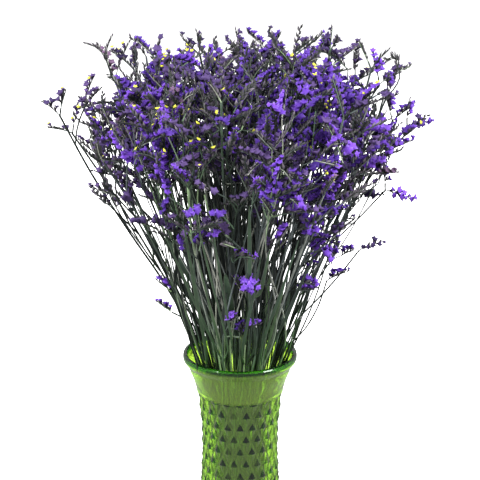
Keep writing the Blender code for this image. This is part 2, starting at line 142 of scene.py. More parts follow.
# Bunch: height and radius of the outermost stalk, and how the stalks spread and end
FLOOR_TOP = 0.0100
SEAT_GAP = 0.0003
FAN = (
    (0.0100, 0.0270),
    (0.1400, 0.0290),
    (0.1970, 0.0335),
    (0.2360, 0.0470),
    (0.2900, 0.0690),
    (0.3450, 0.0980),
    (0.4000, 0.1280),
    (0.4500, 0.1550),
    (0.5000, 0.1820),
    (0.5600, 0.2150),
)
SPRAYS = 36
SEED = 11
GOLDEN_ANGLE = math.pi * (3 - math.sqrt(5))
RIM = 0.236
TWIST_IN_VASE = math.radians(50)
CROWN_TOP = 0.534
CROWN_DROP = 0.070
CROWN_CURVE = 4
END_CURVE = 1.5
LAYERS = (0.0, 0.035, 0.075)
LAYER_DEPTH = 0.025
WANDER = 0.014
STALK_RINGS = 9
STALK_RADIUS = 0.0013
STALK_RADII = (STALK_RADIUS, 0.0010)
TWIG_RADIUS = 0.0008
TWIG_RADII = (TWIG_RADIUS, TWIG_RADIUS)
WING_EVERY = 4
WING_WIDTH = 0.0030
WING_SPAN = 0.170
LEAF_EVERY = 3
LEAF_HEIGHTS = (0.245, 0.330)
LEAF_LENGTH = (0.055, 0.085)
LEAF_WIDTH = 0.0036
LEAF_LEAN = 0.4
LEAF_RINGS = 5

# Spikes: where their whorls of florets stand, their sizes, and how they bow and roll
WHORLS = (0.20, 0.37, 0.54, 0.71, 0.87)
SPIKE_LENGTH = (0.030, 0.040)
SPIKE_RADIUS = 0.0056
SPIKE_BOW = (-0.25, 0.15)
SPIKE_ROLL = 1.2
BUD_RADIUS = 0.0024
BUD_LENGTH = 0.7
BUD_SHARE = 0.12

# Forks and twigs: angles in radians, how each leaves its stem, and the room that it keeps
FORK_STEM = 0.007
FORK_ROLL = 0.9
FIRST_TURN = (0.35, 0.60)
SECOND_TURN = (0.65, 0.90)
SECOND_LENGTH = (0.75, 1.10)
LONE_TURN = (-0.2, 0.2)
GATE = 0.0012
GATES_APART = 5 * GATE
TWIG_ROUNDS = ((2, 0.026, 0.055), (2, 0.050, 0.095), (1, 0.085, 0.140))
TWIG_REACH = (0.030, 0.055)
TWIG_RISE = 0.8
TWIG_SPREAD = (0.35, 0.75)
TWIG_ANGLE = math.radians(30)
TWIG_KNEE = 0.5
TWIG_RINGS = 4
LEAVE_SHIFT = 0.015
DEPTH_SHIFT = 0.040
NEAREST_STALKS = 12
CROWN_FLOOR = 0.350
FLOOR_DEPTH = 0.020
DOME_TOP = 0.566
DOME_FALL = 1.2
CROWN_RADIUS = 0.187
SIDE = 0.016
CLEARANCE = 0.0010
SAMPLE = 0.003
OWN_REACH = 0.015
TRIES = 60

# Sprays that make the outline: where each stalk ends, and the tip of its first spike
OUTLINE_TIPS = (
    ((-0.172, 0.000, 0.481), (-0.184, 0.000, 0.495)),
    ((-0.163, 0.020, 0.459), (-0.181, 0.020, 0.466)),
    ((-0.121, 0.030, 0.509), (-0.135, 0.030, 0.543)),
    ((-0.092, 0.060, 0.526), (-0.103, 0.060, 0.545)),
    ((-0.079, -0.010, 0.538), (-0.073, -0.010, 0.556)),
    ((-0.039, 0.040, 0.532), (-0.040, 0.040, 0.554)),
    ((0.029, 0.060, 0.531), (0.040, 0.060, 0.548)),
    ((0.053, 0.020, 0.536), (0.055, 0.020, 0.561)),
    ((0.085, 0.010, 0.540), (0.087, 0.010, 0.562)),
    ((0.125, 0.010, 0.524), (0.138, 0.010, 0.542)),
    ((0.140, -0.010, 0.505), (0.150, -0.010, 0.528)),
    ((0.160, 0.000, 0.471), (0.184, 0.000, 0.474)),
    ((0.149, 0.030, 0.469), (0.168, 0.030, 0.485)),
)
# Twigs under the crown: the height each leaves its stalk at, its end, its spike's tip, its spikes
LOW_TWIGS = (
    (0.330, (0.140, -0.010, 0.410), (0.166, -0.010, 0.400), 2),
    (0.270, (0.117, 0.005, 0.344), (0.135, 0.005, 0.356), 1),
    (0.262, (0.085, -0.010, 0.318), (0.101, -0.010, 0.328), 1),
    (0.258, (-0.067, -0.012, 0.309), (-0.081, -0.012, 0.320), 1),
    (0.250, (-0.068, 0.012, 0.277), (-0.082, 0.012, 0.287), 1),
    (0.320, (-0.119, 0.000, 0.402), (-0.142, 0.000, 0.412), 1),
    (0.340, (-0.138, 0.000, 0.440), (-0.158, 0.000, 0.454), 2),
    (0.320, (-0.010, -0.080, 0.395), (-0.014, -0.092, 0.420), 1),
    (0.300, (0.026, -0.074, 0.368), (0.034, -0.086, 0.388), 1),
    (0.270, (0.002, -0.062, 0.323), (-0.006, -0.072, 0.342), 1),
    (0.248, (0.000, -0.052, 0.276), (0.003, -0.058, 0.296), 1),
    (0.300, (-0.026, -0.074, 0.373), (-0.042, -0.086, 0.388), 1),
    (0.310, (0.058, -0.060, 0.370), (0.071, -0.072, 0.388), 1),
    (0.262, (0.058, -0.030, 0.312), (0.064, -0.042, 0.332), 1),
    (0.262, (0.040, 0.066, 0.318), (0.050, 0.082, 0.338), 1),
    (0.300, (-0.030, 0.090, 0.370), (-0.040, 0.106, 0.388), 1),
)

# Finer growth: the part of the crown that it fills, and how low it reaches
FINE_SEED = 59
FAN_ROOT = Vector((0, 0, 0.10))
DENSE_TOP = 0.550
DENSE_FALL = 1.5
DENSE_RADIUS = 0.164
DENSE_SIDE = 0.004
DENSE_LEFT = 0.070
DENSE_RIGHT = 0.085
LEFT_TILT = 0.28
RIGHT_TILT = 0.60
DENSE_FLOOR = 0.425
DENSE_FLOOR_SLOPE = 0.15

# How old the spikes are: 0 for a fresh violet one to 1 for a faded one
FRESH_SHARE = 0.12
# Where more of them are fresh: place across, height, reach, and how much is added there
FRESH_PATCHES = (
    (-0.042, 0.522, 0.024, 0.6),
    (0.085, 0.505, 0.042, 0.8),
    (-0.080, 0.472, 0.030, 0.6),
    (-0.052, 0.450, 0.025, 0.4),
    (0.018, 0.478, 0.028, 0.5),
    (0.150, 0.455, 0.045, 1.0),
    (0.055, 0.414, 0.024, 0.7),
)
FRESH_AGES = (0.00, 0.40)
DULL_AGES = (0.65, 0.90)
FADED_SHARE = 0.03
SLIM_SHARE = 0.45
BARE_SHARE = 0.45

# How pale the stalks are: 0 for a dark one to 1, with painted shade that darkens those in the middle and
# toward the bunch's left and right sides, and painted shade with a greener tint near the vase
PALE_SHARE = 0.12
PALE_SHADES = (0.75, 1.0)
INNER_SHADE = 0.35
TWIG_PALEST = 0.72
# Painted shade toward the bunch's left and right sides: where it starts, over what width, and how much it
# darkens
SIDE_STARTS = 0.60
SIDE_WIDTH = 0.25
PAINTED_SIDE_SHADE = 0.80
# Painted shade, with a greener tint, on the stems near the vase's mouth: where it is full, where it ends,
# and its tint
NECK_SHADE_BELOW = 0.250
NECK_SHADE_ABOVE = 0.315
NECK_SHADE_TINT = (0.62, 0.90, 0.52)

# Side stems: how many, how they spread, and those that rise beside a stalk inside the vase
SIDE_STEMS = 200
SIDE_STEM_PACKING = 0.68
SIDE_STEM_SPREAD = 0.94
CLUMPING = 0.13
CLUMPS = 7
SIDE_STEM_LEAVES = (0.200, 0.262)
SIDE_STEM_DROP = (0.000, 0.070)
SIDE_STEM_RADII = (0.0009, 0.0005)
SIDE_STEM_WOBBLE = (0.002, 0.009)
SIDE_STEM_STEPS = 10
SIDE_STEM_TURN = 1.0
STALK_STEPS = 12
WING_STEPS = 8
TWIN_HEIGHTS = (0.012, 0.050, 0.100, 0.150, 0.190, 0.225)
TWIN_GAP = (0.002, 0.007)
TWIN_OUTWARD = 0.8
TWIN_SPREAD = 0.004
TWIN_OFF_GLASS = 0.0025
LINE_STEP = 0.006
SHORT_STEP = 0.003

# Thin twigs, and the clusters of spikes at their ends
SIDE_TWIG_BELOW = (0.015, 0.085)
SIDE_TWIG_CHOICES = 8
FINE_TWIG_RADII = (0.0007, 0.0005)
FINE_TWIG_REACH = (0.028, 0.052)
FINE_TWIG_RINGS = 5
TURN_COST = 0.05
INLINE_LEAST = 0.6
# How many spikes a cluster has: one of these by chance
SIDE_STEM_SPIKES = (1, 2, 2, 3)
SIDE_TWIG_SPIKES = (1, 2, 2)
FILL_SPIKES = (2, 2, 3)
FLANK_SPIKES = (1, 1, 2)
# How the spikes of a cluster fan out from its place
CLUSTER_STEM = (0.003, 0.008)
CLUSTER_TURN = (0.30, 0.80)
CLUSTER_TILT = 0.35
MIDDLE_TURN = 0.4
FINE_SPIKE_LENGTH = (0.022, 0.038)
FINE_SPIKE_BOW = (-0.55, 0.25)
SHORTENED = 0.6
SPIKE_SPACING = 0.013
SPIKE_AHEAD = 0.02

# Clusters that fill what is left of the crown, and those on the flanks below it
FILL_CLUSTERS = 50
FILL_TRIES = 12
FILL_DEPTH = 0.030
FILL_AHEAD = 0.015
FILL_REACH = (0.018, 0.060)
DOME_SHARE = 0.4
FLANK_BELOW = 0.02
FLANK_UNDER_TOP = 0.03
FLANK_CLUSTERS = 60
FLANK_DROP = (-0.010, 0.060)
FLANK_SHARE = (0.60, 0.97)
FLANK_CLEAR = 0.050

# Small low spikes that show in front of the stems: how each stands, its length, and their places
LOW_TWIG_REACH = (0.010, 0.060)
LOW_SPIKE_TURN = 0.8
LOW_SPIKE_LENGTH = (0.010, 0.017)
LOW_SPIKE_AGE = 0.2
LOW_FLORETS = (
    (-0.034, -0.132, 0.425),
    (-0.027, -0.116, 0.392),
    (-0.037, -0.106, 0.379),
    (-0.015, -0.132, 0.419),
    (-0.008, -0.109, 0.374),
    (-0.001, -0.109, 0.374),
    (0.020, -0.141, 0.437),
    (0.029, -0.135, 0.429),
    (0.032, -0.150, 0.458),
    (0.044, -0.135, 0.436),
    (0.050, -0.141, 0.452),
    (0.032, -0.112, 0.388),
    (0.058, -0.102, 0.390),
    (0.002, -0.095, 0.347),
    (0.006, -0.093, 0.344),
    (0.015, -0.092, 0.343),
    (0.019, -0.090, 0.341),
    (-0.010, -0.068, 0.296),
    (0.006, -0.065, 0.287),
    (0.056, -0.070, 0.336),
    (0.053, -0.067, 0.328),
    (0.062, -0.108, 0.404),
    (0.071, -0.094, 0.390),
    (-0.050, -0.116, 0.406),
    (-0.059, -0.100, 0.387),
    (0.081, -0.100, 0.411),
    (0.075, -0.076, 0.370),
    (0.064, -0.074, 0.380),
    (0.076, -0.066, 0.366),
    (0.092, -0.060, 0.366),
    (0.086, -0.056, 0.350),
    (0.060, -0.070, 0.350),
    (0.070, -0.058, 0.330),
    (0.095, -0.050, 0.356),
)

# Bare twigs at the bunch's edge: each with its twig's places and then each of its bud spikes'
EDGE_TWIG_REACH = (0.010, 0.080)
EDGE_TWIG_RADII = (0.0009, 0.0007)
EDGE_TWIG_SHADE = 0.12
EDGE_SPIKE_AGE = 0.8
EDGE_TWIGS = (
    (
        ((0.136, 0.0, 0.496), (0.145, 0.0, 0.505), (0.151, 0.0, 0.517), (0.149, 0.0, 0.527)),
        ((0.149, 0.0, 0.527), (0.145, 0.0, 0.536), (0.136, 0.0, 0.534)),
        ((0.149, 0.0, 0.527), (0.149, 0.0, 0.534), (0.144, 0.0, 0.540)),
    ),
    (
        ((-0.120, 0.0, 0.515), (-0.124, 0.0, 0.528), (-0.128, 0.0, 0.539)),
        ((-0.128, 0.0, 0.539), (-0.136, 0.0, 0.546), (-0.144, 0.0, 0.549)),
        ((-0.124, 0.0, 0.528), (-0.125, 0.0, 0.543), (-0.120, 0.0, 0.556)),
    ),
)

# Flat green blades: those in front by foot, tip and width, others round the neck, and near-black ones in
# its core that are painted shade
FRONT_BLADE_REACH = (0.024, 0.080)
FRONT_BLADE_BOW = Vector((0, -0.003, 0))
FRONT_BLADE_FACE = Vector((0, -1, 0.2)).normalized()
FRONT_BLADE_SHADES = (0.5, 1.0)
FRONT_BLADES = (
    ((-0.033, -0.042, 0.258), (-0.050, -0.118, 0.407), 0.0036),
    ((0.009, -0.080, 0.318), (0.008, -0.140, 0.431), 0.0043),
    ((0.019, -0.087, 0.333), (0.027, -0.111, 0.381), 0.0036),
    ((0.006, -0.065, 0.287), (0.012, -0.093, 0.343), 0.0029),
    ((0.021, -0.053, 0.267), (0.053, -0.106, 0.389), 0.0029),
    ((-0.012, -0.057, 0.269), (-0.042, -0.136, 0.435), 0.0022),
    ((0.002, -0.056, 0.263), (0.019, -0.110, 0.376), 0.0029),
    ((-0.008, -0.060, 0.275), (-0.025, -0.127, 0.410), 0.0025),
    ((-0.018, -0.052, 0.262), (-0.038, -0.100, 0.368), 0.0025),
    ((0.028, -0.052, 0.272), (0.044, -0.090, 0.355), 0.0029),
    ((0.015, -0.056, 0.268), (0.003, -0.121, 0.394), 0.0029),
    ((0.034, -0.047, 0.270), (0.066, -0.078, 0.359), 0.0025),
    ((-0.025, -0.051, 0.267), (-0.066, -0.096, 0.386), 0.0029),
)
FINE_BLADES = 44
FINE_BLADE_HEIGHTS = (0.236, 0.330)
FINE_BLADE_LENGTH = (0.050, 0.110)
FINE_BLADE_WIDTH = (0.0018, 0.0038)
FINE_BLADE_LEAN = (0.02, 0.18)
# Near-black blades in the core: painted shade, a dark mass in the shaded middle of the bunch
CORE_SHADE_BLADES = 90
CORE_SHADE_BLADE_HEIGHTS = (0.240, 0.390)
CORE_SHADE_RADIUS = 0.045
CORE_SHADE_BLADE_LENGTH = (0.080, 0.150)
CORE_SHADE_BLADE_WIDTH = (0.0035, 0.0060)
WING_SHOWN = 1.2
# How every blade is shaped, from its foot to its tip
BLADE_RINGS = 12
BLADE_THICKNESS = 0.0005
BLADE_FOLD = 0.25
BLADE_WAVE = 0.12
BLADE_WAVES = 17
BLADE_TIP = 0.0003
BLADE_LEAST = 0.12
BLADE_SWELL = 0.88
BLADE_START = 0.12
BLADE_PACE = 0.80
BLADE_ROUNDNESS = 0.8

# The kinds of point in a skeleton, and the small forms that stand on a spike with their sizes
STEM, FLORET, HALF_OPEN, BUD, BRACT, COROLLA, BLADE = range(7)
FORM_LABELS = {
    FLORET: "Floret",
    HALF_OPEN: "Half-open floret",
    BUD: "Bud",
    BRACT: "Bract",
    COROLLA: "Corolla",
}
FLORET_SIZE = 0.0080
BUD_SIZE = 0.0060
BRACT_SIZE = 0.0080
COROLLA_SIZE = 0.0070
# Where they stand along a spike, and how far each leans up, out and forward
SPIKE_AXIS_RADII = (0.0006, 0.0003)
FLORETS_FROM = 0.12
FLORETS_OVER = 0.86
FLORET_STEP = 0.0025
LEAST_FLORETS = 3
FLORET_UP = 0.80
FLORET_OUT = 0.45
FLORET_FORWARD = 0.62
FLORET_JITTER = 0.14
FLORET_SPREAD = (0.5, 1.2)
BUD_FORWARD = 0.9
BRACT_FORWARD = 0.95
BRACT_OUT = 0.42
BRACT_UP = 0.22
BRACT_JITTER = 0.5
# How they vary in size and tone, how painted shade darkens the spikes deep in the bunch, and how many are
# half open or closed
SIZE_VARIES = (0.80, 1.18)
END_SIZE = 0.70
MIDDLE_MORE = 0.30
SWELL_PACE = 1.15
SHADE_VARIES = 0.22
PAINTED_LIGHT_INNER = 0.4
PAINTED_LIGHT_OUTER = 0.7
OPEN_SHARE = 0.65
DULL_AGE = 0.55
CLOSED_WHEN_DULL = 0.50
CLOSED_WHEN_FRESH = 0.06
# Which florets are in flower, by side, height and chance
YELLOW_SHARE = 0.10
YELLOW_LEFT_SHARE = 0.36
YELLOW_LEFT = -0.040
YELLOW_HEIGHTS = (0.440, 0.518)
YELLOW_FLORETS = 0.3
# The forms' own shapes
NOTCH_DEPTH = 0.7
NOTCH_SHADE = 0.7
BRACT_POINTS = (
    (0, 0, 0),
    (-0.21, 0.06, 0.45),
    (0.21, 0.06, 0.45),
    (0, -0.10, 0.48),
    (0, 0.00, 0.43),
    (0, 0.07, 1),
)
BRACT_FACES = (
    (0, 1, 3),
    (0, 3, 2),
    (0, 2, 4),
    (0, 4, 1),
    (5, 3, 1),
    (5, 2, 3),
    (5, 4, 2),
    (5, 1, 4),
)
STEM_SIDES = 6
UP = Vector((0, 0, 1))


def smooth_value(stations, at):
    """The value at a place along (place, value) stations, on cubic spans."""
    places = [place for place, _ in stations]
    values = [value for _, value in stations]
    slopes = np.gradient(values, places)
    span = min(max(int(np.searchsorted(places, at)) - 1, 0), len(places) - 2)
    width = places[span + 1] - places[span]
    t = (at - places[span]) / width
    start = (1 + 2 * t) * (1 - t) ** 2 * values[span] + t * (1 - t) ** 2 * width * slopes[span]
    end = t * t * (3 - 2 * t) * values[span + 1] + t * t * (t - 1) * width * slopes[span + 1]
    return float(start + end)


def across(heading):
    """Two unit vectors square to a heading: the one nearest up, and the one beside it."""
    side = heading.cross(UP)
    if side.length < 1e-6:
        side = heading.cross(Vector((1, 0, 0)))
    side.normalize()
    return side.cross(heading).normalized(), side


def any_way_off(heading, rng):
    """A unit vector square to a heading, turned about it by chance."""
    up, side = across(heading)
    turn = rng.uniform(0, math.tau)
    return side * math.cos(turn) + up * math.sin(turn)


def polar(radius, angle, height):
    return Vector((radius * math.cos(angle), radius * math.sin(angle), height))


def off_axis(point):
    """How far a point stands from the vase's axis."""
    return math.hypot(point.x, point.y)


def end_heading(line):
    return (line[-1] - line[-2]).normalized()


def measured(line):
    """The distance along a line to each of its points."""
    lengths = [0.0]
    for a, b in zip(line, line[1:]):
        lengths.append(lengths[-1] + (b - a).length)
    return lengths


def point_along(line, at):
    """The point at a distance along a line, and the line's heading there."""
    for a, b in zip(line, line[1:]):
        step = (b - a).length
        if at <= step or b is line[-1]:
            return a.lerp(b, at / step), (b - a).normalized()
        at -= step


def length_to_height(line, height):
    """The distance along a rising line to a height."""
    for i, (a, b) in enumerate(zip(line, line[1:])):
        if b.z >= height:
            return measured(line)[i] + (b - a).length * (height - a.z) / (b.z - a.z)
    return measured(line)[-1]


def stalk_at(line, height):
    return point_along(line, length_to_height(line, height))[0]


def part_of(line, start, end, count):
    """Evenly spaced points on the part of a line between two distances along it."""
    return [point_along(line, start + (end - start) * i / count)[0] for i in range(count + 1)]


def branch_line(start, heading, end, rings):
    """A line that leaves start at the twig angle from heading and curves to end."""
    reach = end - start
    away = (reach - heading * reach.dot(heading)).normalized()
    way_out = heading * math.cos(TWIG_ANGLE) + away * math.sin(TWIG_ANGLE)
    knee = start + way_out * reach.length * TWIG_KNEE
    steps = [i / (rings - 1) for i in range(rings)]
    return [(1 - t) ** 2 * start + 2 * t * (1 - t) * knee + t * t * end for t in steps]


class Shoot:
    """One axis of a spray: a stem, a spike of florets at its end, and the shoots that leave it."""

    def __init__(self, stem, radii, face, spike=(), reach=0.0, at=0.0, wing=0.0):
        self.stem = stem
        self.radii = radii
        self.face = face
        self.spike = list(spike)
        self.reach = reach
        self.at = at
        self.wing = wing
        self.children = []


class Room:
    """The space that the sprays already take, as balls along their lines."""

    def __init__(self):
        self.points = np.empty((0, 3))
        self.radii = np.empty(0)
        self.owners = np.empty(0, int)

    def sampled(self, line):
        out = []
        for a, b in zip(line, line[1:]):
            count = max(1, math.ceil((b - a).length / SAMPLE))
            out += [a.lerp(b, i / count) for i in range(count)]
        return np.array([tuple(point) for point in out + [line[-1]]])

    def take(self, line, radius, owner):
        points = self.sampled(line)
        self.points = np.vstack([self.points, points])
        self.radii = np.append(self.radii, np.full(len(points), radius))
        self.owners = np.append(self.owners, np.full(len(points), owner))

    def is_free(self, line, radius, owner, root):
        """Whether a line is clear of other sprays, and of its own spray away from its root."""
        points = self.sampled(line)
        margin = radius + SPIKE_RADIUS + CLEARANCE
        near = np.all(self.points > points.min(axis=0) - margin, axis=1)
        near &= np.all(self.points < points.max(axis=0) + margin, axis=1)
        away = np.linalg.norm(self.points[near] - np.array(root), axis=1) > OWN_REACH
        near[near] = (self.owners[near] != owner) | away
        if not near.any():
            return True
        apart = np.linalg.norm(points[:, None] - self.points[near][None], axis=2)
        return bool((apart - self.radii[near]).min() > radius + CLEARANCE)


def fan_point(share, angle, height):
    """A place in the bunch: share of the way out, angle about the axis, and height."""
    turned = angle - TWIST_IN_VASE * (1 - min(height / RIM, 1))
    return polar(share * smooth_value(FAN, height), turned, height)


def crown_height(share):
    """How high the crown is, share of the way out from its middle."""
    return CROWN_TOP - CROWN_DROP * share**CROWN_CURVE


def stalk_plans():
    """For each spray: its share and angle, where its stalk ends, and its first spike's tip if set."""
    rng = random.Random(SEED)
    plans = []
    for k in range(SPRAYS):
        share = math.sqrt((k + 0.5) / SPRAYS)
        angle = k * GOLDEN_ANGLE
        below = LAYERS[k % len(LAYERS)] + rng.uniform(0.0, LAYER_DEPTH)
        height = crown_height(share) - below
        plans.append([share, angle, fan_point(share, angle, height), None])
    free = set(range(SPRAYS))
    for stalk_end, spike_tip in OUTLINE_TIPS:
        nearest = min(free, key=lambda k: (plans[k][2] - Vector(stalk_end)).length)
        plans[nearest][2:] = [Vector(stalk_end), Vector(spike_tip)]
        free.remove(nearest)
    return plans


def stalk_line(share, angle, end, sway):
    """A stalk from the vase's floor to its end, with a slow sway above the rim."""
    bottom = FLOOR_TOP + SEAT_GAP
    shift = end - fan_point(share, angle, end.z)
    line = []
    for i in range(STALK_RINGS):
        height = bottom + (end.z - bottom) * i / (STALK_RINGS - 1)
        above = max(0.0, (height - RIM) / (end.z - RIM))
        swing = math.sin(math.pi * above) * above
        line.append(fan_point(share, angle, height) + shift * above**END_CURVE + sway * swing)
    return line


def spike_line(base, direction, length, bow):
    """A spike's whorls and tip, which bow away from its direction."""
    return [base + direction * length * t + bow * length * t * t for t in WHORLS + (1.0,)]


def faced(direction, rng):
    """The way a spike's top faces: up, turned about the spike by chance."""
    return Quaternion(direction, rng.uniform(-SPIKE_ROLL, SPIKE_ROLL)) @ across(direction)[0]


def spike_shoots(stem, radii, rng, count, first_tip=None, at=0.0, wing=0.0):
    """A stem that ends in a spike, with a second spike that leaves just under its end."""
    base = stem[-1]
    heading = end_heading(stem)
    up, side = across(heading)
    roll = rng.uniform(-FORK_ROLL, FORK_ROLL)
    spread = side * math.cos(roll) + up * math.sin(roll)
    reach = BUD_RADIUS if rng.random() < BUD_SHARE else SPIKE_RADIUS
    turn = rng.uniform(*FIRST_TURN) if count > 1 else rng.uniform(*LONE_TURN)
    first = heading * math.cos(turn) + spread * math.sin(turn)
    length = rng.uniform(*SPIKE_LENGTH) * (1 if reach == SPIKE_RADIUS else BUD_LENGTH)
    if first_tip:
        first = (first_tip - base).normalized()
        length = (first_tip - base).length
        spread = (first - heading * first.dot(heading)).normalized()
    spike = spike_line(base, first, length, up * rng.uniform(*SPIKE_BOW))
    shoot = Shoot(stem, radii, faced(first, rng), spike, reach, at, wing)
    if count > 1:
        turn = rng.uniform(*SECOND_TURN)
        second = heading * math.cos(turn) - spread * math.sin(turn)
        start = base + second * FORK_STEM
        fork_at = measured(stem)[-1] - GATE
        fork_stem = [point_along(stem, fork_at)[0], start]
        length = length * rng.uniform(*SECOND_LENGTH)
        spike = spike_line(start, second, length, up * rng.uniform(*SPIKE_BOW))
        shoot.children = [Shoot(fork_stem, TWIG_RADII, faced(second, rng), spike, reach, fork_at)]
    return shoot


def in_crown(point):
    """Whether a point is under the crown's dome and within its sides."""
    radius = off_axis(point)
    widest = min(CROWN_RADIUS, smooth_value(FAN, point.z) + SIDE)
    return point.z < DOME_TOP - DOME_FALL * radius**2 and radius < widest


def fits(shoot, room, owner, root, stem_too=True, free_tip=False):
    """Whether there is room for a shoot's stem and spike, and for those of its forks."""
    if not free_tip and not in_crown(shoot.spike[-1]):
        return False
    if stem_too and not room.is_free(shoot.stem, max(shoot.radii), owner, root):
        return False
    if not room.is_free([shoot.stem[-1]] + shoot.spike, shoot.reach, owner, root):
        return False
    return all(fits(child, room, owner, root) for child in shoot.children)


def settle(shoot, room, owner, stem_too=True):
    if stem_too:
        room.take(shoot.stem, max(shoot.radii), owner)
    room.take([shoot.stem[-1]] + shoot.spike, shoot.reach, owner)
    for child in shoot.children:
        settle(child, room, owner)


def gate_is_free(parent, at):
    """Whether a place along a stalk is clear of the shoots that already leave it."""
    return all(abs(child.at - at) > GATES_APART for child in parent.children)


def joins(twig, leader, room, k, start, free_tip=False):
    """Adds a twig to its stalk, if there is room for it."""
    if not gate_is_free(leader, twig.at) or not fits(twig, room, k, start, free_tip=free_tip):
        return False
    settle(twig, room, k)
    leader.children.append(twig)
    return True


def grow_leaders(room):
    """The stalks, each with the fork of spikes at its end."""
    stalks = []
    for k, (share, angle, end, first_tip) in enumerate(stalk_plans()):
        rng = random.Random(SEED * 1000 + k)
        for attempt in range(TRIES):
            reach = WANDER * (1 - attempt / TRIES)
            sway = Vector((rng.uniform(-reach, reach), rng.uniform(-reach, reach), 0))
            line = stalk_line(share, angle, end, sway)
            if room.is_free(line, WING_WIDTH, k, line[0]):
                break
        room.take(line, STALK_RADIUS, k)
        stalks.append((line, first_tip, rng))
    leaders = []
    for k, (line, first_tip, rng) in enumerate(stalks):
        wing = WING_WIDTH if k % WING_EVERY == 1 else 0.0
        for attempt in range(TRIES):
            count = 2 if attempt < TRIES / 2 else 1
            leader = spike_shoots(line, STALK_RADII, rng, count, first_tip, wing=wing)
            if fits(leader, room, k, line[-1], stem_too=False, free_tip=first_tip):
                break
        settle(leader, room, k, stem_too=False)
        leaders.append(leader)
    return leaders, [rng for _, _, rng in stalks]


def grow_low_twigs(leaders, room):
    """The twigs under the crown; one that finds no room moves further and further in depth."""
    for number, (leaving, end, tip, count) in enumerate(LOW_TWIGS):
        rng = random.Random(SEED * 77 + number)
        end = Vector(end)
        nearest = sorted(range(SPRAYS), key=lambda k: (stalk_at(leaders[k].stem, end.z) - end).length)
        for attempt in range(TRIES):
            reach = DEPTH_SHIFT * attempt / TRIES
            shift = Vector((0, rng.uniform(-reach, reach), 0))
            k = nearest[attempt % NEAREST_STALKS]
            height = leaving + rng.uniform(-LEAVE_SHIFT, LEAVE_SHIFT)
            at = length_to_height(leaders[k].stem, max(height, LEAF_HEIGHTS[0]))
            start, heading = point_along(leaders[k].stem, at)
            stem = branch_line(start, heading, end + shift, TWIG_RINGS)
            twig = spike_shoots(stem, TWIG_RADII, rng, count, Vector(tip) + shift, at)
            if joins(twig, leaders[k], room, k, start, free_tip=True):
                break


def grow_twigs(leaders, rngs, room):
    """The twigs within the crown, in a few rounds, each round lower on the stalks."""
    for count, least, most in TWIG_ROUNDS:
        for k, (leader, rng) in enumerate(zip(leaders, rngs)):
            total = measured(leader.stem)[-1]
            lowest = length_to_height(leader.stem, CROWN_FLOOR)
            for _ in range(TRIES):
                at = max(total - rng.uniform(least, most), lowest + rng.uniform(0, FLOOR_DEPTH))
                start, heading = point_along(leader.stem, at)
                away = any_way_off(heading, rng)
                reach = rng.uniform(*TWIG_REACH)
                end = start + heading * reach * TWIG_RISE + away * reach * rng.uniform(*TWIG_SPREAD)
                stem = branch_line(start, heading, end, TWIG_RINGS)
                twig = spike_shoots(stem, TWIG_RADII, rng, count, at=at)
                if joins(twig, leader, room, k, start):
                    break


def grow_leaves(leaders, rngs, room):
    """A narrow leaf on every third stalk, low in the bunch, where there is room for one."""
    for k in range(0, SPRAYS, LEAF_EVERY):
        leader, rng = leaders[k], rngs[k]
        for _ in range(TRIES):
            at = length_to_height(leader.stem, rng.uniform(*LEAF_HEIGHTS))
            start, heading = point_along(leader.stem, at)
            away = any_way_off(heading, rng)
            reach = rng.uniform(*LEAF_LENGTH)
            end = start + (heading + away * LEAF_LEAN) * reach
            stem = branch_line(start, heading, end, LEAF_RINGS)
            leaf = Shoot(stem, TWIG_RADII, away, at=at, wing=LEAF_WIDTH)
            if off_axis(end) > smooth_value(FAN, end.z):
                continue
            if gate_is_free(leader, at) and room.is_free(stem, LEAF_WIDTH, k, start):
                room.take(stem, LEAF_WIDTH, k)
                leader.children.append(leaf)
                break


def grow():
    """The stalks of all the sprays, with the twigs and leaves that the CAD gives them."""
    room = Room()
    leaders, rngs = grow_leaders(room)
    grow_low_twigs(leaders, room)
    grow_twigs(leaders, rngs, room)
    grow_leaves(leaders, rngs, room)
    return leaders


def carried_frames(points, up):
    """Heading, up and side at each point of a line, carried from its start without twist."""
    last = len(points) - 1
    frames = []
    for i in range(last + 1):
        heading = (points[min(i + 1, last)] - points[max(i - 1, 0)]).normalized()
        up = (up - heading * up.dot(heading)).normalized()
        frames.append((heading, up, heading.cross(up)))
    return frames


def smoothed(line, step=LINE_STEP):
    """A line rounded through its own points, with a point about every step."""
    points = [line[0] * 2 - line[1]] + list(line) + [line[-1] * 2 - line[-2]]
    out = []
    for a, b, c, d in zip(points, points[1:], points[2:], points[3:]):
        count = max(1, round((c - b).length / step))
        for i in range(count):
            t = i / count
            bend = (c - a) * t + (a * 2 - b * 5 + c * 4 - d) * t * t + (b * 3 - a - c * 3 + d) * t**3
            out.append(b + bend * 0.5)
    return out + [line[-1]]


class Dressing:
    """What one spray is made of: its stems, spikes and blades, each along a line that is rounded here."""

    def __init__(self):
        self.stems = []
        self.spikes = []
        self.blades = []

    def add_stem(self, line, radii, shade):
        self.stems.append((smoothed(line), radii, shade))

    def add_spike(self, line, face, slim, age, step=LINE_STEP):
        self.spikes.append((smoothed(line, step), face, slim, age))

    def add_blade(self, line, face, width, shade):
        self.blades.append((smoothed(line), face, width, shade))


def outward(point):
    """The way that shoots lean at a place in the bunch."""
    return (point - FAN_ROOT).normalized()


def out_share(point):
    """How far out in the bunch a point is, from 0 on its axis to 1 at its outermost stalk."""
    return min(off_axis(point) / smooth_value(FAN, point.z), 1.0)


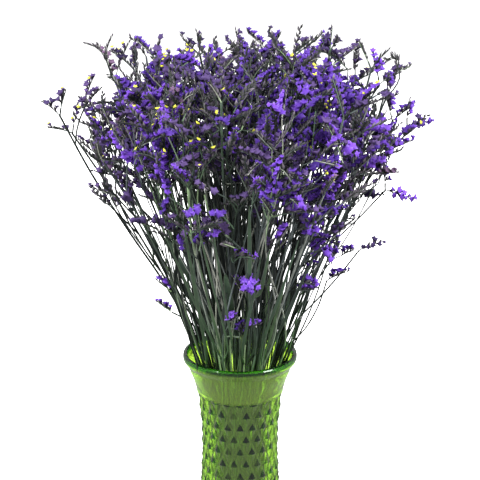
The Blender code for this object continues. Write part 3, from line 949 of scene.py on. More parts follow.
def stalk_shade(point, rng):
    """How pale a stalk is, at random: a few are palest, and painted shade darkens those in the middle of
    the bunch and those toward its left and right sides.
    """
    reach = smooth_value(FAN, point.z)
    # Painted shade at the bunch's left and right sides, where the stalks show dark
    sideways = min(max((abs(point.x) / reach - SIDE_STARTS) / SIDE_WIDTH, 0.0), 1.0)
    side_painted_shade = 1.0 - PAINTED_SIDE_SHADE * sideways
    if rng.random() < PALE_SHARE:
        return rng.uniform(*PALE_SHADES) * side_painted_shade
    # Painted shade near the bunch's axis: the inner stalks are darker
    return rng.random() * (INNER_SHADE + (1 - INNER_SHADE) * out_share(point)) * side_painted_shade


def in_dense_crown(point):
    """Whether a point is within the part of the crown that the finer growth fills."""
    radius = off_axis(point)
    widest = min(DENSE_RADIUS, smooth_value(FAN, point.z) + DENSE_SIDE)
    lower = max(LEFT_TILT * (-point.x - DENSE_LEFT), RIGHT_TILT * (point.x - DENSE_RIGHT), 0.0)
    return point.z < DENSE_TOP - DENSE_FALL * radius**2 - lower and radius < widest


def dense_floor(x):
    """How low the finer growth reaches: a little lower on the right of the bunch."""
    return DENSE_FLOOR - DENSE_FLOOR_SLOPE * x


def is_fresh(point, rng):
    """Whether a spike still has its violet: the low ones do, and most of those in a few patches."""
    share = FRESH_SHARE if point.z > CROWN_FLOOR else 1.0
    for across_at, height, reach, more in FRESH_PATCHES:
        share += more * math.exp(-((point.x - across_at) ** 2 + (point.z - height) ** 2) / reach**2)
    return rng.random() < share


def spike_age(fresh, rng):
    """0 for a newly opened spike, more for a duller one, and 1 for the few faded ones."""
    if rng.random() < FADED_SHARE:
        return 1.0
    return rng.uniform(*(FRESH_AGES if fresh else DULL_AGES))


def bend(start, heading, target, steps):
    """A long curve that leaves start along heading and reaches target as the bunch leans there."""
    third = (target - start).length / 3
    pull = [start, start + heading * third, target - outward(target) * third, target]
    line = []
    for step in range(steps + 1):
        t = step / steps
        weights = ((1 - t) ** 3, 3 * t * (1 - t) ** 2, 3 * t * t * (1 - t), t**3)
        line.append(sum((point * weight for point, weight in zip(pull, weights)), Vector()))
    return line


def beside(stalk, offset):
    """The part of a line in the vase that runs beside a stalk, kept off the glass."""
    line = []
    for height in TWIN_HEIGHTS:
        point = stalk_at(stalk, height) + offset
        radius = off_axis(point)
        bore = smooth_value(BORE[::-1], height) - TWIN_OFF_GLASS
        widest = min(smooth_value(FAN, height) + TWIN_SPREAD, bore)
        if radius > widest:
            point = Vector((point.x * widest / radius, point.y * widest / radius, point.z))
        line.append(point)
    return line


def crown_place(rng):
    """A place a little under the crown's surface: its dome, or its flank all round."""
    angle = rng.uniform(0, math.tau)
    depth = FILL_DEPTH / 2 + rng.expovariate(1 / FILL_DEPTH)
    if rng.random() < DOME_SHARE:
        radius = DENSE_RADIUS * math.sqrt(rng.random())
        return polar(radius, angle, DENSE_TOP - DENSE_FALL * radius**2 - depth)
    lowest = dense_floor(DENSE_RADIUS * math.cos(angle)) - FLANK_BELOW
    height = lowest + (DENSE_TOP - lowest - FLANK_UNDER_TOP) * math.sqrt(rng.random())
    return polar(min(DENSE_RADIUS, smooth_value(FAN, height)) - depth, angle, height)


def flank_place(rng):
    """A place a little lower than the crown, at a side or the back of the bunch."""
    angle = rng.uniform(0, math.tau)
    height = dense_floor(DENSE_RADIUS * math.cos(angle)) - rng.uniform(*FLANK_DROP)
    place = fan_point(rng.uniform(*FLANK_SHARE), angle, height)
    return None if place.y < 0 and abs(place.x) < FLANK_CLEAR else place


class Bunch:
    """The bunch as its finer growth is added: its sprays, its stems, and the places that spikes take."""

    def __init__(self, leaders):
        self.rng = random.Random(FINE_SEED)
        self.leaders = leaders
        self.dressings = [Dressing() for _ in leaders]
        self.stems = []
        for k, leader in enumerate(leaders):
            self.collect(leader, self.dressings[k])
            upper = length_to_height(leader.stem, SIDE_STEM_LEAVES[0])
            self.add_rooting_line(part_of(leader.stem, upper, measured(leader.stem)[-1], STALK_STEPS), k)
        spikes = [spike[0] for dressing in self.dressings for spike in dressing.spikes]
        self.taken = np.array([tuple(point) for line in spikes for point in line[1::2]])

    def collect(self, shoot, dressing):
        """Puts a grown shoot and its children into a spray's dressing."""
        rng = self.rng
        if not shoot.spike:
            dressing.add_blade(shoot.stem, shoot.face, shoot.wing * 2, rng.random())
            return
        dressing.add_stem(shoot.stem, shoot.radii, stalk_shade(shoot.stem[-1], rng))
        slim = shoot.reach == BUD_RADIUS and shoot.spike[-1].z > CROWN_FLOOR
        age = spike_age(is_fresh(shoot.spike[-1], rng), rng)
        dressing.add_spike([shoot.stem[-1]] + shoot.spike, shoot.face, slim, age)
        if shoot.wing:
            start, end = (length_to_height(shoot.stem, height) for height in (RIM, RIM + WING_SPAN))
            wing = part_of(shoot.stem, start, end, WING_STEPS)
            dressing.add_blade(wing, shoot.face, shoot.wing * WING_SHOWN, rng.random())
        for child in shoot.children:
            self.collect(child, dressing)

    def add_rooting_line(self, line, owner):
        """Notes the points and headings of a stem that twigs and blades may leave."""
        for at in np.arange(0.0, measured(line)[-1], LINE_STEP):
            self.stems.append((*point_along(line, at), owner))

    def rooting_point(self, target, least, most):
        """The stem point that a twig to a target would leave most naturally: below it and in line."""
        reach = np.array(target) - self.stem_points
        far = np.linalg.norm(reach, axis=1)
        inline = (reach * self.stem_headings).sum(axis=1) / np.maximum(far, 1e-9)
        cost = far + TURN_COST * (1 - inline)
        cost[(far < least) | (far > most) | (inline < INLINE_LEAST) | (reach[:, 2] < 0)] = np.inf
        best = int(cost.argmin())
        return self.stems[best] if math.isfinite(cost[best]) else None

    def room_at(self, point):
        """The distance from a point to the nearest place that a spike takes."""
        return float(np.linalg.norm(self.taken - np.array(point), axis=1).min())

    def add_cluster(self, k, place, heading, count):
        """Spikes that fork from the end of a stem or twig, fanned out and bowed."""
        rng = self.rng
        spread = any_way_off(heading, rng)
        side = heading.cross(spread)
        fresh = is_fresh(place, rng)
        for i in range(count):
            turn = rng.uniform(*CLUSTER_TURN) * (1 if i % 2 == 0 else -1) * (MIDDLE_TURN if i == 2 else 1)
            tilt = rng.uniform(-CLUSTER_TILT, CLUSTER_TILT)
            way = (heading * math.cos(turn) + spread * math.sin(turn) + side * tilt).normalized()
            base = place + way * rng.uniform(*CLUSTER_STEM)
            length = rng.uniform(*FINE_SPIKE_LENGTH)
            bow = across(way)[0] * rng.uniform(*FINE_SPIKE_BOW)
            spike = spike_line(base, way, length, bow)
            if not in_dense_crown(spike[-1]):
                spike = spike_line(base, way, length * SHORTENED, Vector())
            if not in_dense_crown(spike[-1]):
                continue
            slim = rng.random() < (BUD_SHARE if fresh else SLIM_SHARE)
            if i and not fresh and rng.random() < BARE_SHARE:
                continue
            age = spike_age(fresh, rng)
            self.dressings[k].add_spike([place, base] + spike[1:], faced(way, rng), slim, age)
            self.taken = np.vstack([self.taken, [tuple(point) for point in spike[1::2]]])

    def add_twig(self, k, start, heading, end, count):
        """A thin twig with a cluster at its end, or nothing where that finds no place in the crown."""
        dressing = self.dressings[k]
        line = branch_line(start, heading, end, FINE_TWIG_RINGS)
        shade = self.rng.random() * TWIG_PALEST
        spikes_before = len(dressing.spikes)
        self.add_cluster(k, end, end_heading(line), count)
        if len(dressing.spikes) > spikes_before:
            dressing.add_stem(line, FINE_TWIG_RADII, shade)

    def add_side_stems(self):
        """Long thin stems that rise beside the stalks, or leave them near the rim, and end in the crown."""
        rng = self.rng
        load = [0] * SPRAYS
        lines = []
        for i in range(SIDE_STEMS):
            share = ((i + 0.5) / SIDE_STEMS) ** SIDE_STEM_PACKING
            angle = i * GOLDEN_ANGLE + SIDE_STEM_TURN
            angle += CLUMPING * math.sin(CLUMPS * angle)
            height = crown_height(share) - rng.uniform(*SIDE_STEM_DROP)
            target = fan_point(share * SIDE_STEM_SPREAD, angle, height)
            free = [k for k in range(SPRAYS) if load[k] < SIDE_STEMS // SPRAYS + 1]
            k = min(free, key=lambda k: (self.leaders[k].stem[-1] - target).length)
            load[k] += 1
            stalk = self.leaders[k].stem
            lower = []
            start, heading = point_along(stalk, length_to_height(stalk, rng.uniform(*SIDE_STEM_LEAVES)))
            if i % 2:
                apart = any_way_off(UP, rng) + Vector((start.x, start.y, 0)).normalized() * TWIN_OUTWARD
                lower = beside(stalk, apart.normalized() * rng.uniform(*TWIN_GAP))
                start = lower.pop()
                heading = (start - lower[-1]).normalized()
            line = bend(start, heading, target, SIDE_STEM_STEPS)
            wobble = any_way_off(heading, rng) * rng.uniform(*SIDE_STEM_WOBBLE)
            for step in range(1, SIDE_STEM_STEPS):
                line[step] += wobble * math.sin(step / SIDE_STEM_STEPS * math.tau)
            self.dressings[k].add_stem(lower + line, SIDE_STEM_RADII, stalk_shade(target, rng))
            self.add_rooting_line(line, k)
            lines.append((line, k))
            self.add_cluster(k, target, end_heading(line), rng.choice(SIDE_STEM_SPIKES))
        for line, k in lines:
            self.add_side_twig(line, k)
        self.stem_points = np.array([tuple(point) for point, _, _ in self.stems])
        self.stem_headings = np.array([tuple(heading) for _, heading, _ in self.stems])

    def add_side_twig(self, line, k):
        """A twig on a side stem, at the one of a few places that has the most room."""
        rng = self.rng
        choices = []
        for _ in range(SIDE_TWIG_CHOICES):
            start, heading = point_along(line, measured(line)[-1] - rng.uniform(*SIDE_TWIG_BELOW))
            reach = rng.uniform(*FINE_TWIG_REACH)
            away = any_way_off(heading, rng) * rng.uniform(*TWIG_SPREAD)
            end = start + heading * reach * TWIG_RISE + away * reach
            tip = end + end_heading([start, end]) * SPIKE_AHEAD
            if in_dense_crown(tip) and end.z > dense_floor(end.x):
                choices.append((self.room_at(tip), start, heading, end))
        if choices:
            room, start, heading, end = max(choices, key=lambda choice: choice[0])
            if room > SPIKE_SPACING / 2:
                self.add_twig(k, start, heading, end, rng.choice(SIDE_TWIG_SPIKES))

    def fill(self, number, choose, ahead, counts):
        """Twigs with clusters at the places that choose gives, wherever there is still room."""
        grown = 0
        for _ in range(number * FILL_TRIES):
            place = choose(self.rng)
            if grown == number:
                break
            if place is None or self.room_at(place + outward(place) * ahead) < SPIKE_SPACING:
                continue
            found = self.rooting_point(place, *FILL_REACH)
            if found:
                start, heading, k = found
                self.add_twig(k, start, heading, place, self.rng.choice(counts))
                grown += 1

    def add_low_florets(self):
        """The few small spikes that show low in front of the stems."""
        rng = self.rng
        for place in LOW_FLORETS:
            place = Vector(place)
            found = self.rooting_point(place, *LOW_TWIG_REACH)
            if found:
                start, heading, k = found
                line = branch_line(start, heading, place, FINE_TWIG_RINGS)
                self.dressings[k].add_stem(line, FINE_TWIG_RADII, rng.random() * TWIG_PALEST)
                way = (end_heading(line) + any_way_off(heading, rng) * LOW_SPIKE_TURN).normalized()
                bow = across(way)[0] * rng.uniform(*FINE_SPIKE_BOW)
                spike = [place] + spike_line(place, way, rng.uniform(*LOW_SPIKE_LENGTH), bow)
                self.dressings[k].add_spike(spike, faced(way, rng), False, LOW_SPIKE_AGE, SHORT_STEP)

    def add_edge_twigs(self):
        """Bare twigs with closed buds that stand clear of the crown."""
        for twig, *spikes in EDGE_TWIGS:
            line = [Vector(point) for point in twig]
            found = self.rooting_point(line[0], *EDGE_TWIG_REACH)
            if found:
                start, _, k = found
                self.dressings[k].add_stem([start] + line, EDGE_TWIG_RADII, EDGE_TWIG_SHADE)
                for spike in spikes:
                    spike = [Vector(point) for point in spike]
                    face = faced((spike[-1] - spike[0]).normalized(), self.rng)
                    self.dressings[k].add_spike(spike, face, True, EDGE_SPIKE_AGE, SHORT_STEP)

    def add_blades(self):
        """Flat green blades: those in front, others all round at the neck of the bunch, and near-black ones
        in its core as painted shade.
        """
        rng = self.rng
        for low, high, width in FRONT_BLADES:
            low, high = Vector(low), Vector(high)
            found = self.rooting_point(low, *FRONT_BLADE_REACH)
            if found:
                start, _, k = found
                line = [start, low, low.lerp(high, 0.5) + FRONT_BLADE_BOW, high]
                shade = rng.uniform(*FRONT_BLADE_SHADES)
                self.dressings[k].add_blade(line, FRONT_BLADE_FACE, width, shade)
        rooted = self.stems_between(FINE_BLADE_HEIGHTS, math.inf)
        for _ in range(FINE_BLADES):
            start, heading, k = rng.choice(rooted)
            away = any_way_off(heading, rng)
            reach = rng.uniform(*FINE_BLADE_LENGTH)
            end = start + (heading + away * rng.uniform(*FINE_BLADE_LEAN)) * reach
            if off_axis(end) < smooth_value(FAN, end.z):
                line = branch_line(start, heading, end, FINE_TWIG_RINGS)
                width = rng.uniform(*FINE_BLADE_WIDTH)
                self.dressings[k].add_blade(line, away, width, rng.random())
        # Near-black blades in the core of the bunch, with no tone of their own: painted shade
        rooted = self.stems_between(CORE_SHADE_BLADE_HEIGHTS, CORE_SHADE_RADIUS)
        for _ in range(CORE_SHADE_BLADES):
            start, heading, k = rng.choice(rooted)
            away = any_way_off(heading, rng)
            lean = heading + away * rng.uniform(*FINE_BLADE_LEAN)
            end = start + lean * rng.uniform(*CORE_SHADE_BLADE_LENGTH)
            line = branch_line(start, heading, end, FINE_TWIG_RINGS)
            self.dressings[k].add_blade(line, away, rng.uniform(*CORE_SHADE_BLADE_WIDTH), 0.0)

    def stems_between(self, heights, radius):
        lowest, highest = heights
        return [stem for stem in self.stems if lowest < stem[0].z < highest and off_axis(stem[0]) < radius]


def dress_bunch():
    """All the sprays' dressings, grown on the CAD's own stalks, twigs and spikes."""
    bunch = Bunch(grow())
    bunch.add_side_stems()
    bunch.fill(FILL_CLUSTERS, crown_place, FILL_AHEAD, FILL_SPIKES)
    bunch.fill(FLANK_CLUSTERS, flank_place, 0.0, FLANK_SPIKES)
    bunch.add_low_florets()
    bunch.add_edge_twigs()
    bunch.add_blades()
    return bunch.dressings


class Skeleton:
    """The mesh that a spray's tree grows from: stem lines, one point per small form, and blades."""

    LABELS = ("kind", "radius", "size", "age", "shade", "turn")

    def __init__(self):
        self.points = []
        self.values = []
        self.edges = []
        self.faces = []

    def add(self, point, kind, radius=0.0, size=0.0, age=0.0, shade=0.5, turn=(0, 0, 0)):
        self.points.append(tuple(point))
        self.values.append((kind, radius, size, age, shade, tuple(turn)))
        return len(self.points) - 1

    def stem(self, line, radii, shade):
        last = len(line) - 1
        for i, point in enumerate(line):
            radius = radii[0] + (radii[1] - radii[0]) * i / last
            index = self.add(point, STEM, radius=radius, shade=shade)
            if i:
                self.edges.append((index - 1, index))

    def form(self, kind, point, way, inner, size, age, shade):
        """A small form that points along way, with its inner side turned to inner."""
        side = inner.cross(way).normalized()
        turn = Matrix((side, way.cross(side), way)).transposed().to_euler()
        self.add(point, kind, turn=turn, size=size, age=age, shade=shade)

    def spike(self, line, face, slim, age, rng):
        """Florets in two ranks along the upper side of a spike, each in its bract."""
        self.stem(line, SPIKE_AXIS_RADII, rng.random())
        frames = carried_frames(line, face)
        total = measured(line)[-1]
        count = max(LEAST_FLORETS, round(total * FLORETS_OVER / FLORET_STEP))
        lowest, highest = YELLOW_HEIGHTS
        chance = YELLOW_LEFT_SHARE if line[0].x < YELLOW_LEFT else YELLOW_SHARE
        flowering = lowest < line[0].z < highest and rng.random() < chance
        closed = CLOSED_WHEN_DULL if age > DULL_AGE else CLOSED_WHEN_FRESH
        # Each spike's lightness: a random tone, with painted shade that darkens spikes deep in the bunch
        light = rng.random() * (PAINTED_LIGHT_INNER + PAINTED_LIGHT_OUTER * out_share((line[0] + line[-1]) / 2))
        for i in range(count):
            share = FLORETS_FROM + FLORETS_OVER * i / (count - 1)
            point, _ = point_along(line, total * share)
            nearest = min(int(share * (len(line) - 1) + 0.5), len(line) - 1)
            heading, lift, side = frames[nearest]
            rank = side * (1 if i % 2 else -1)
            swell = END_SIZE + MIDDLE_MORE * math.sin(math.pi * min(share * SWELL_PACE, 1.0))
            jitter = Vector([rng.gauss(0, FLORET_JITTER) for _ in range(3)])
            way = lift * FLORET_UP + rank * FLORET_OUT * rng.uniform(*FLORET_SPREAD)
            way = (way + heading * FLORET_FORWARD + jitter).normalized()
            spin = (Quaternion(way, rng.uniform(0, math.tau)) @ across(way)[0]).normalized()
            size = swell * rng.uniform(*SIZE_VARIES)
            shade = min(max(light + rng.uniform(-SHADE_VARIES, SHADE_VARIES), 0.0), 1.0)
            if slim or rng.random() < closed:
                way = (way + heading * BUD_FORWARD).normalized()
                self.form(BUD, point, way, spin, BUD_SIZE * size, age, shade)
            else:
                kind = FLORET if rng.random() < OPEN_SHARE else HALF_OPEN
                self.form(kind, point, way, spin, FLORET_SIZE * size, age, shade)
                if flowering and rng.random() < YELLOW_FLORETS:
                    self.form(COROLLA, point, way, spin, COROLLA_SIZE, age, shade)
            under = heading * BRACT_FORWARD + rank * BRACT_OUT + lift * BRACT_UP + jitter * BRACT_JITTER
            self.form(BRACT, point, under.normalized(), lift, BRACT_SIZE * size, age, rng.random())

    def blade(self, line, face, width, shade, rng):
        """A flat blade along a line: closed, folded at its midrib, and a little waved at its edges."""
        last = BLADE_RINGS - 1
        line = part_of(line, 0.0, measured(line)[-1], last)
        phase = rng.uniform(0, math.tau)
        rings = []
        for i, (point, (_, lift, side)) in enumerate(zip(line, carried_frames(line, face))):
            share = i / last
            swell = math.sin(math.pi * min(share * BLADE_PACE + BLADE_START, 1.0)) ** BLADE_ROUNDNESS
            half = BLADE_TIP if i == last else width / 2 * (BLADE_LEAST + BLADE_SWELL * swell)
            rise = half * BLADE_FOLD
            wave = half * BLADE_WAVE * math.sin(share * BLADE_WAVES + phase)
            corners = (
                point + side * half + lift * (rise + wave),
                point + lift * BLADE_THICKNESS,
                point - side * half + lift * (rise - wave),
                point - lift * BLADE_THICKNESS,
            )
            rings.append([self.add(corners[i], BLADE, age=1.0 - i % 2, shade=shade) for i in range(4)])
        self.faces += [rings[0][::-1], rings[-1]]
        for low, high in zip(rings, rings[1:]):
            self.faces += [(low[i - 1], low[i], high[i], high[i - 1]) for i in (1, 2, 3, 0)]

    def object(self, name):
        mesh = bpy.data.meshes.new(name)
        mesh.from_pydata(self.points, self.edges, self.faces)
        for label, values in zip(self.LABELS, zip(*self.values)):
            kind = {"kind": "INT", "turn": "FLOAT_VECTOR"}.get(label, "FLOAT")
            field = "vector" if label == "turn" else "value"
            attribute = mesh.attributes.new(label, kind, "POINT")
            attribute.data.foreach_set(field, np.array(values, int if kind == "INT" else float).ravel())
        return placed(name, mesh)


def placed(name, data):
    """A new object in the scene."""
    obj = bpy.data.objects.new(name, data)
    bpy.context.scene.collection.objects.link(obj)
    return obj


def finished_mesh(bm, name):
    """An object of a closed mesh, its faces turned outwards."""
    bmesh.ops.recalc_face_normals(bm, faces=bm.faces)
    mesh = bpy.data.meshes.new(name)
    bm.to_mesh(mesh)
    bm.free()
    return placed(name, mesh)


def form_object(name, rings, tip_height, inside=None):
    """A small closed form turned from rings of (height, radii); its rim attribute runs base to rim."""
    bm = bmesh.new()
    rim = bm.verts.layers.float.new("rim")
    loops = []
    for height, radii in rings:
        loop = []
        for i, radius in enumerate(radii):
            notch = max(radii) - radius
            vert = bm.verts.new(polar(radius, math.tau * i / len(radii), height - NOTCH_DEPTH * notch))
            vert[rim] = height - NOTCH_SHADE * notch
            loop.append(vert)
        loops.append(loop)
    bm.faces.new(loops[0][::-1])
    for low, high in zip(loops, loops[1:]):
        step = len(high) // len(low)
        for i, corner in enumerate(low):
            after = low[(i + 1) % len(low)]
            outer = [high[(i * step + s) % len(high)] for s in range(step + 1)]
            if step == 1:
                bm.faces.new((corner, after, outer[1], outer[0]))
            else:
                bm.faces.new((corner, after, outer[2]))
                bm.faces.new((corner, outer[1], outer[0]))
                bm.faces.new((corner, outer[2], outer[1]))
    tip = bm.verts.new((0, 0, tip_height))
    tip[rim] = tip_height if inside is None else inside
    last = loops[-1]
    for i, corner in enumerate(last):
        bm.faces.new((corner, last[(i + 1) % len(last)], tip))
    obj = finished_mesh(bm, name)
    obj.data.shade_smooth()
    return obj


def bract_object():
    """A dry pointed scale, hollow on its inner side, that runs along +Z and opens to +Y."""
    mesh = bpy.data.meshes.new("bract")
    mesh.from_pydata(BRACT_POINTS, [], BRACT_FACES)
    rim = mesh.attributes.new("rim", "FLOAT", "POINT")
    rim.data.foreach_set("value", [point[2] for point in BRACT_POINTS])
    return placed("bract", mesh)


def small_forms():
    """The forms that stand on the spikes, each one unit long."""
    open_rim = (0.60, 0.40, 0.51, 0.36, 0.62, 0.43, 0.48, 0.35, 0.57, 0.40)
    half_rim = (0.42, 0.28, 0.36, 0.25, 0.44, 0.30, 0.34, 0.24, 0.40, 0.27)
    throat = ((0, (0.07,) * 5), (0.5, (0.13,) * 5))
    return {
        FLORET: form_object("floret", throat + ((1.0, open_rim),), 0.72, inside=0.74),
        HALF_OPEN: form_object("half_open_floret", throat + ((1.0, half_rim),), 0.76, inside=0.74),
        BUD: form_object("bud", ((0, (0.07,) * 5), (0.45, (0.15,) * 5)), 1.0),
        COROLLA: form_object("corolla", ((0.80, (0.08,) * 5), (1.04, (0.34, 0.20) * 5)), 1.08),
        BRACT: bract_object(),
    }


def new_tree(name, inputs):
    """An empty Geometry Nodes tree with a geometry going through and named inputs."""
    tree = bpy.data.node_groups.new(name, "GeometryNodeTree")
    tree.interface.new_socket("Geometry", in_out="INPUT", socket_type="NodeSocketGeometry")
    for label, kind in inputs:
        tree.interface.new_socket(label, in_out="INPUT", socket_type=kind)
    tree.interface.new_socket("Geometry", in_out="OUTPUT", socket_type="NodeSocketGeometry")
    return tree, tree.nodes.new("NodeGroupInput"), tree.nodes.new("NodeGroupOutput")


def made(tree, kind, output, inputs, **settings):
    """One output of a new node, whose inputs are each linked to a socket or set to a value."""
    node = tree.nodes.new(kind)
    for label, value in settings.items():
        setattr(node, label, value)
    for label, value in inputs.items():
        if isinstance(value, bpy.types.NodeSocket):
            tree.links.new(value, node.inputs[label])
        else:
            node.inputs[label].default_value = value
    return node.outputs[output]


def sum_of(tree, operation, a, b=0.0):
    """A sum on two sockets or numbers, in a shape tree or a material's."""
    return made(tree, "ShaderNodeMath", "Value", {0: a, 1: b}, operation=operation)


def named(tree, label, kind="FLOAT"):
    """The output of a node that reads a named attribute."""
    return made(tree, "GeometryNodeInputNamedAttribute", "Attribute", {"Name": label}, data_type=kind)


def of_kind(tree, geometry, kind):
    """The part of a geometry whose points are of one kind."""
    compare = tree.nodes.new("FunctionNodeCompare")
    compare.data_type = "INT"
    compare.operation = "EQUAL"
    first, second = [socket for socket in compare.inputs if socket.enabled]
    tree.links.new(named(tree, "kind", "INT"), first)
    second.default_value = kind
    chosen = {"Geometry": geometry, "Selection": compare.outputs["Result"]}
    return made(tree, "GeometryNodeSeparateGeometry", "Selection", chosen)


def with_finish(tree, geometry, material):
    inputs = {"Geometry": geometry, "Material": material}
    return made(tree, "GeometryNodeSetMaterial", "Geometry", inputs)


def spray_tree(finishes):
    """Grows a spray from its skeleton: tubes along the stems, a small form on each point."""
    inputs = [("Stem sides", "NodeSocketInt")]
    inputs += [(label, "NodeSocketObject") for label in FORM_LABELS.values()]
    tree, source, output = new_tree("spray", inputs)
    skeleton = source.outputs["Geometry"]
    join = tree.nodes.new("GeometryNodeJoinGeometry")
    curve = made(tree, "GeometryNodeMeshToCurve", "Curve", {"Mesh": of_kind(tree, skeleton, STEM)})
    circle = {"Resolution": source.outputs["Stem sides"], "Radius": 1.0}
    profile = made(tree, "GeometryNodeCurvePrimitiveCircle", "Curve", circle)
    swept = {"Curve": curve, "Profile Curve": profile, "Scale": named(tree, "radius"), "Fill Caps": True}
    tube = made(tree, "GeometryNodeCurveToMesh", "Mesh", swept)
    stems = made(tree, "GeometryNodeSetShadeSmooth", "Geometry", {"Geometry": tube})
    shown = [(STEM, stems), (BLADE, of_kind(tree, skeleton, BLADE))]
    for kind, label in FORM_LABELS.items():
        points = made(tree, "GeometryNodeMeshToPoints", "Points", {"Mesh": of_kind(tree, skeleton, kind)})
        form = made(tree, "GeometryNodeObjectInfo", "Geometry", {"Object": source.outputs[label]})
        euler = {"Euler": named(tree, "turn", "FLOAT_VECTOR")}
        turn = made(tree, "FunctionNodeEulerToRotation", "Rotation", euler)
        spread = {"Points": points, "Instance": form, "Rotation": turn, "Scale": named(tree, "size")}
        copies = made(tree, "GeometryNodeInstanceOnPoints", "Instances", spread)
        real = made(tree, "GeometryNodeRealizeInstances", "Geometry", {"Geometry": copies})
        shown.append((kind, real))
    for kind, geometry in shown:
        tree.links.new(with_finish(tree, geometry, finishes[kind]), join.inputs["Geometry"])
    tree.links.new(join.outputs["Geometry"], output.inputs["Geometry"])
    return tree


def grown(obj, tree, values):
    """Runs a tree on an object and leaves it a plain mesh."""
    modifier = obj.modifiers.new(tree.name, "NODES")
    modifier.node_group = tree
    for item in tree.interface.items_tree:
        if item.in_out == "INPUT" and item.name in values:
            modifier[item.identifier] = values[item.name]
    depsgraph = bpy.context.evaluated_depsgraph_get()
    mesh = bpy.data.meshes.new_from_object(
        obj.evaluated_get(depsgraph), preserve_all_data_layers=True, depsgraph=depsgraph
    )
    obj.modifiers.remove(modifier)
    skeleton = obj.data
    obj.data = mesh
    bpy.data.meshes.remove(skeleton)
    return obj


def vase_blank():
    """The vase's closed wall without its cuts: its belt's outside is marked for them."""
    columns = 2 * DIAMONDS_AROUND * COLUMN_STEPS
    rows = DIAMOND_ROWS * ROW_STEPS
    heights = [BELT_BOTTOM + (BELT_TOP - BELT_BOTTOM) * i / rows for i in range(rows + 1)]
    belt = [(height, smooth_value(BELT, height)) for height in heights]
    upper = smoothed([Vector((*ring, 0)) for ring in (belt[-1],) + COLLAR + BORE[:3]], LIP_STEP)[1:]
    outline = [(ring, 0.0) for ring in FOOT]
    outline += [(ring, 1.0) for ring in belt]
    outline += [(ring, 0.0) for ring in [point.xy for point in upper] + list(BORE[3:])]
    bm = bmesh.new()
    cut = bm.verts.layers.float.new("cut")
    loops = []
    for (height, radius), marked in outline:
        loop = [bm.verts.new(polar(radius, math.tau * i / columns, height)) for i in range(columns)]
        for vert in loop:
            vert[cut] = marked
        loops.append(loop)
    for row, (low, high) in enumerate(zip(loops, loops[1:]), start=-len(FOOT)):
        for i in range(columns):
            a, b, c, d = low[i], low[(i + 1) % columns], high[(i + 1) % columns], high[i]
            if not 0 <= row < rows:
                bm.faces.new((a, b, c, d)).smooth = True
            elif (row // ROW_STEPS + i // COLUMN_STEPS) % 2:
                bm.faces.new((a, b, c))
                bm.faces.new((a, c, d))
            else:
                bm.faces.new((a, b, d))
                bm.faces.new((b, c, d))
    bm.faces.new(loops[0][::-1])
    bm.faces.new(loops[-1])
    return finished_mesh(bm, "glass_vase")


def cut_offsets(tree, place, around, bottom, pitch):
    """How far a place on the wall lies from the tip of its pyramid, along the two ways of the cuts."""
    x, y, z = made(tree, "ShaderNodeSeparateXYZ", "X", {"Vector": place}).node.outputs
    turn = sum_of(tree, "DIVIDE", sum_of(tree, "ARCTAN2", y, x), math.tau)
    column = sum_of(tree, "MULTIPLY", turn, sum_of(tree, "MULTIPLY", around, 2.0))
    row = sum_of(tree, "DIVIDE", sum_of(tree, "SUBTRACT", z, bottom), pitch)
    offsets = []
    for operation in ("ADD", "SUBTRACT"):
        along = sum_of(tree, "MULTIPLY", sum_of(tree, operation, column, row), 0.5)
        offsets.append(sum_of(tree, "SUBTRACT", along, sum_of(tree, "ROUND", along)))
    return offsets


def vase_tree(material):
    """Presses rows of staggered pyramids into the marked wall, each a diamond in outline."""
    labels = ("Diamonds around", "Belt bottom", "Row pitch", "Depth")
    tree, source, output = new_tree("diamond_cuts", [(label, "NodeSocketFloat") for label in labels])
    around, bottom, pitch, deepest = [source.outputs[label] for label in labels]
    place = made(tree, "GeometryNodeInputPosition", "Position", {})
    slopes = [sum_of(tree, "ABSOLUTE", way) for way in cut_offsets(tree, place, around, bottom, pitch)]
    steep = sum_of(tree, "MULTIPLY", sum_of(tree, "MAXIMUM", *slopes), -2.0)
    depth = sum_of(tree, "MULTIPLY", sum_of(tree, "MULTIPLY", steep, deepest), named(tree, "cut"))
    ray = made(tree, "ShaderNodeVectorMath", "Vector", {0: place, 1: (1, 1, 0)}, operation="MULTIPLY")
    way_out = made(tree, "ShaderNodeVectorMath", "Vector", {0: ray}, operation="NORMALIZE")
    shift = made(tree, "ShaderNodeVectorMath", "Vector", {0: way_out, "Scale": depth}, operation="SCALE")
    moved = {"Geometry": source.outputs["Geometry"], "Offset": shift}
    wall = made(tree, "GeometryNodeSetPosition", "Geometry", moved)
    real = made(tree, "GeometryNodeRealizeInstances", "Geometry", {"Geometry": wall})
    tree.links.new(with_finish(tree, real, material), output.inputs["Geometry"])
    return tree


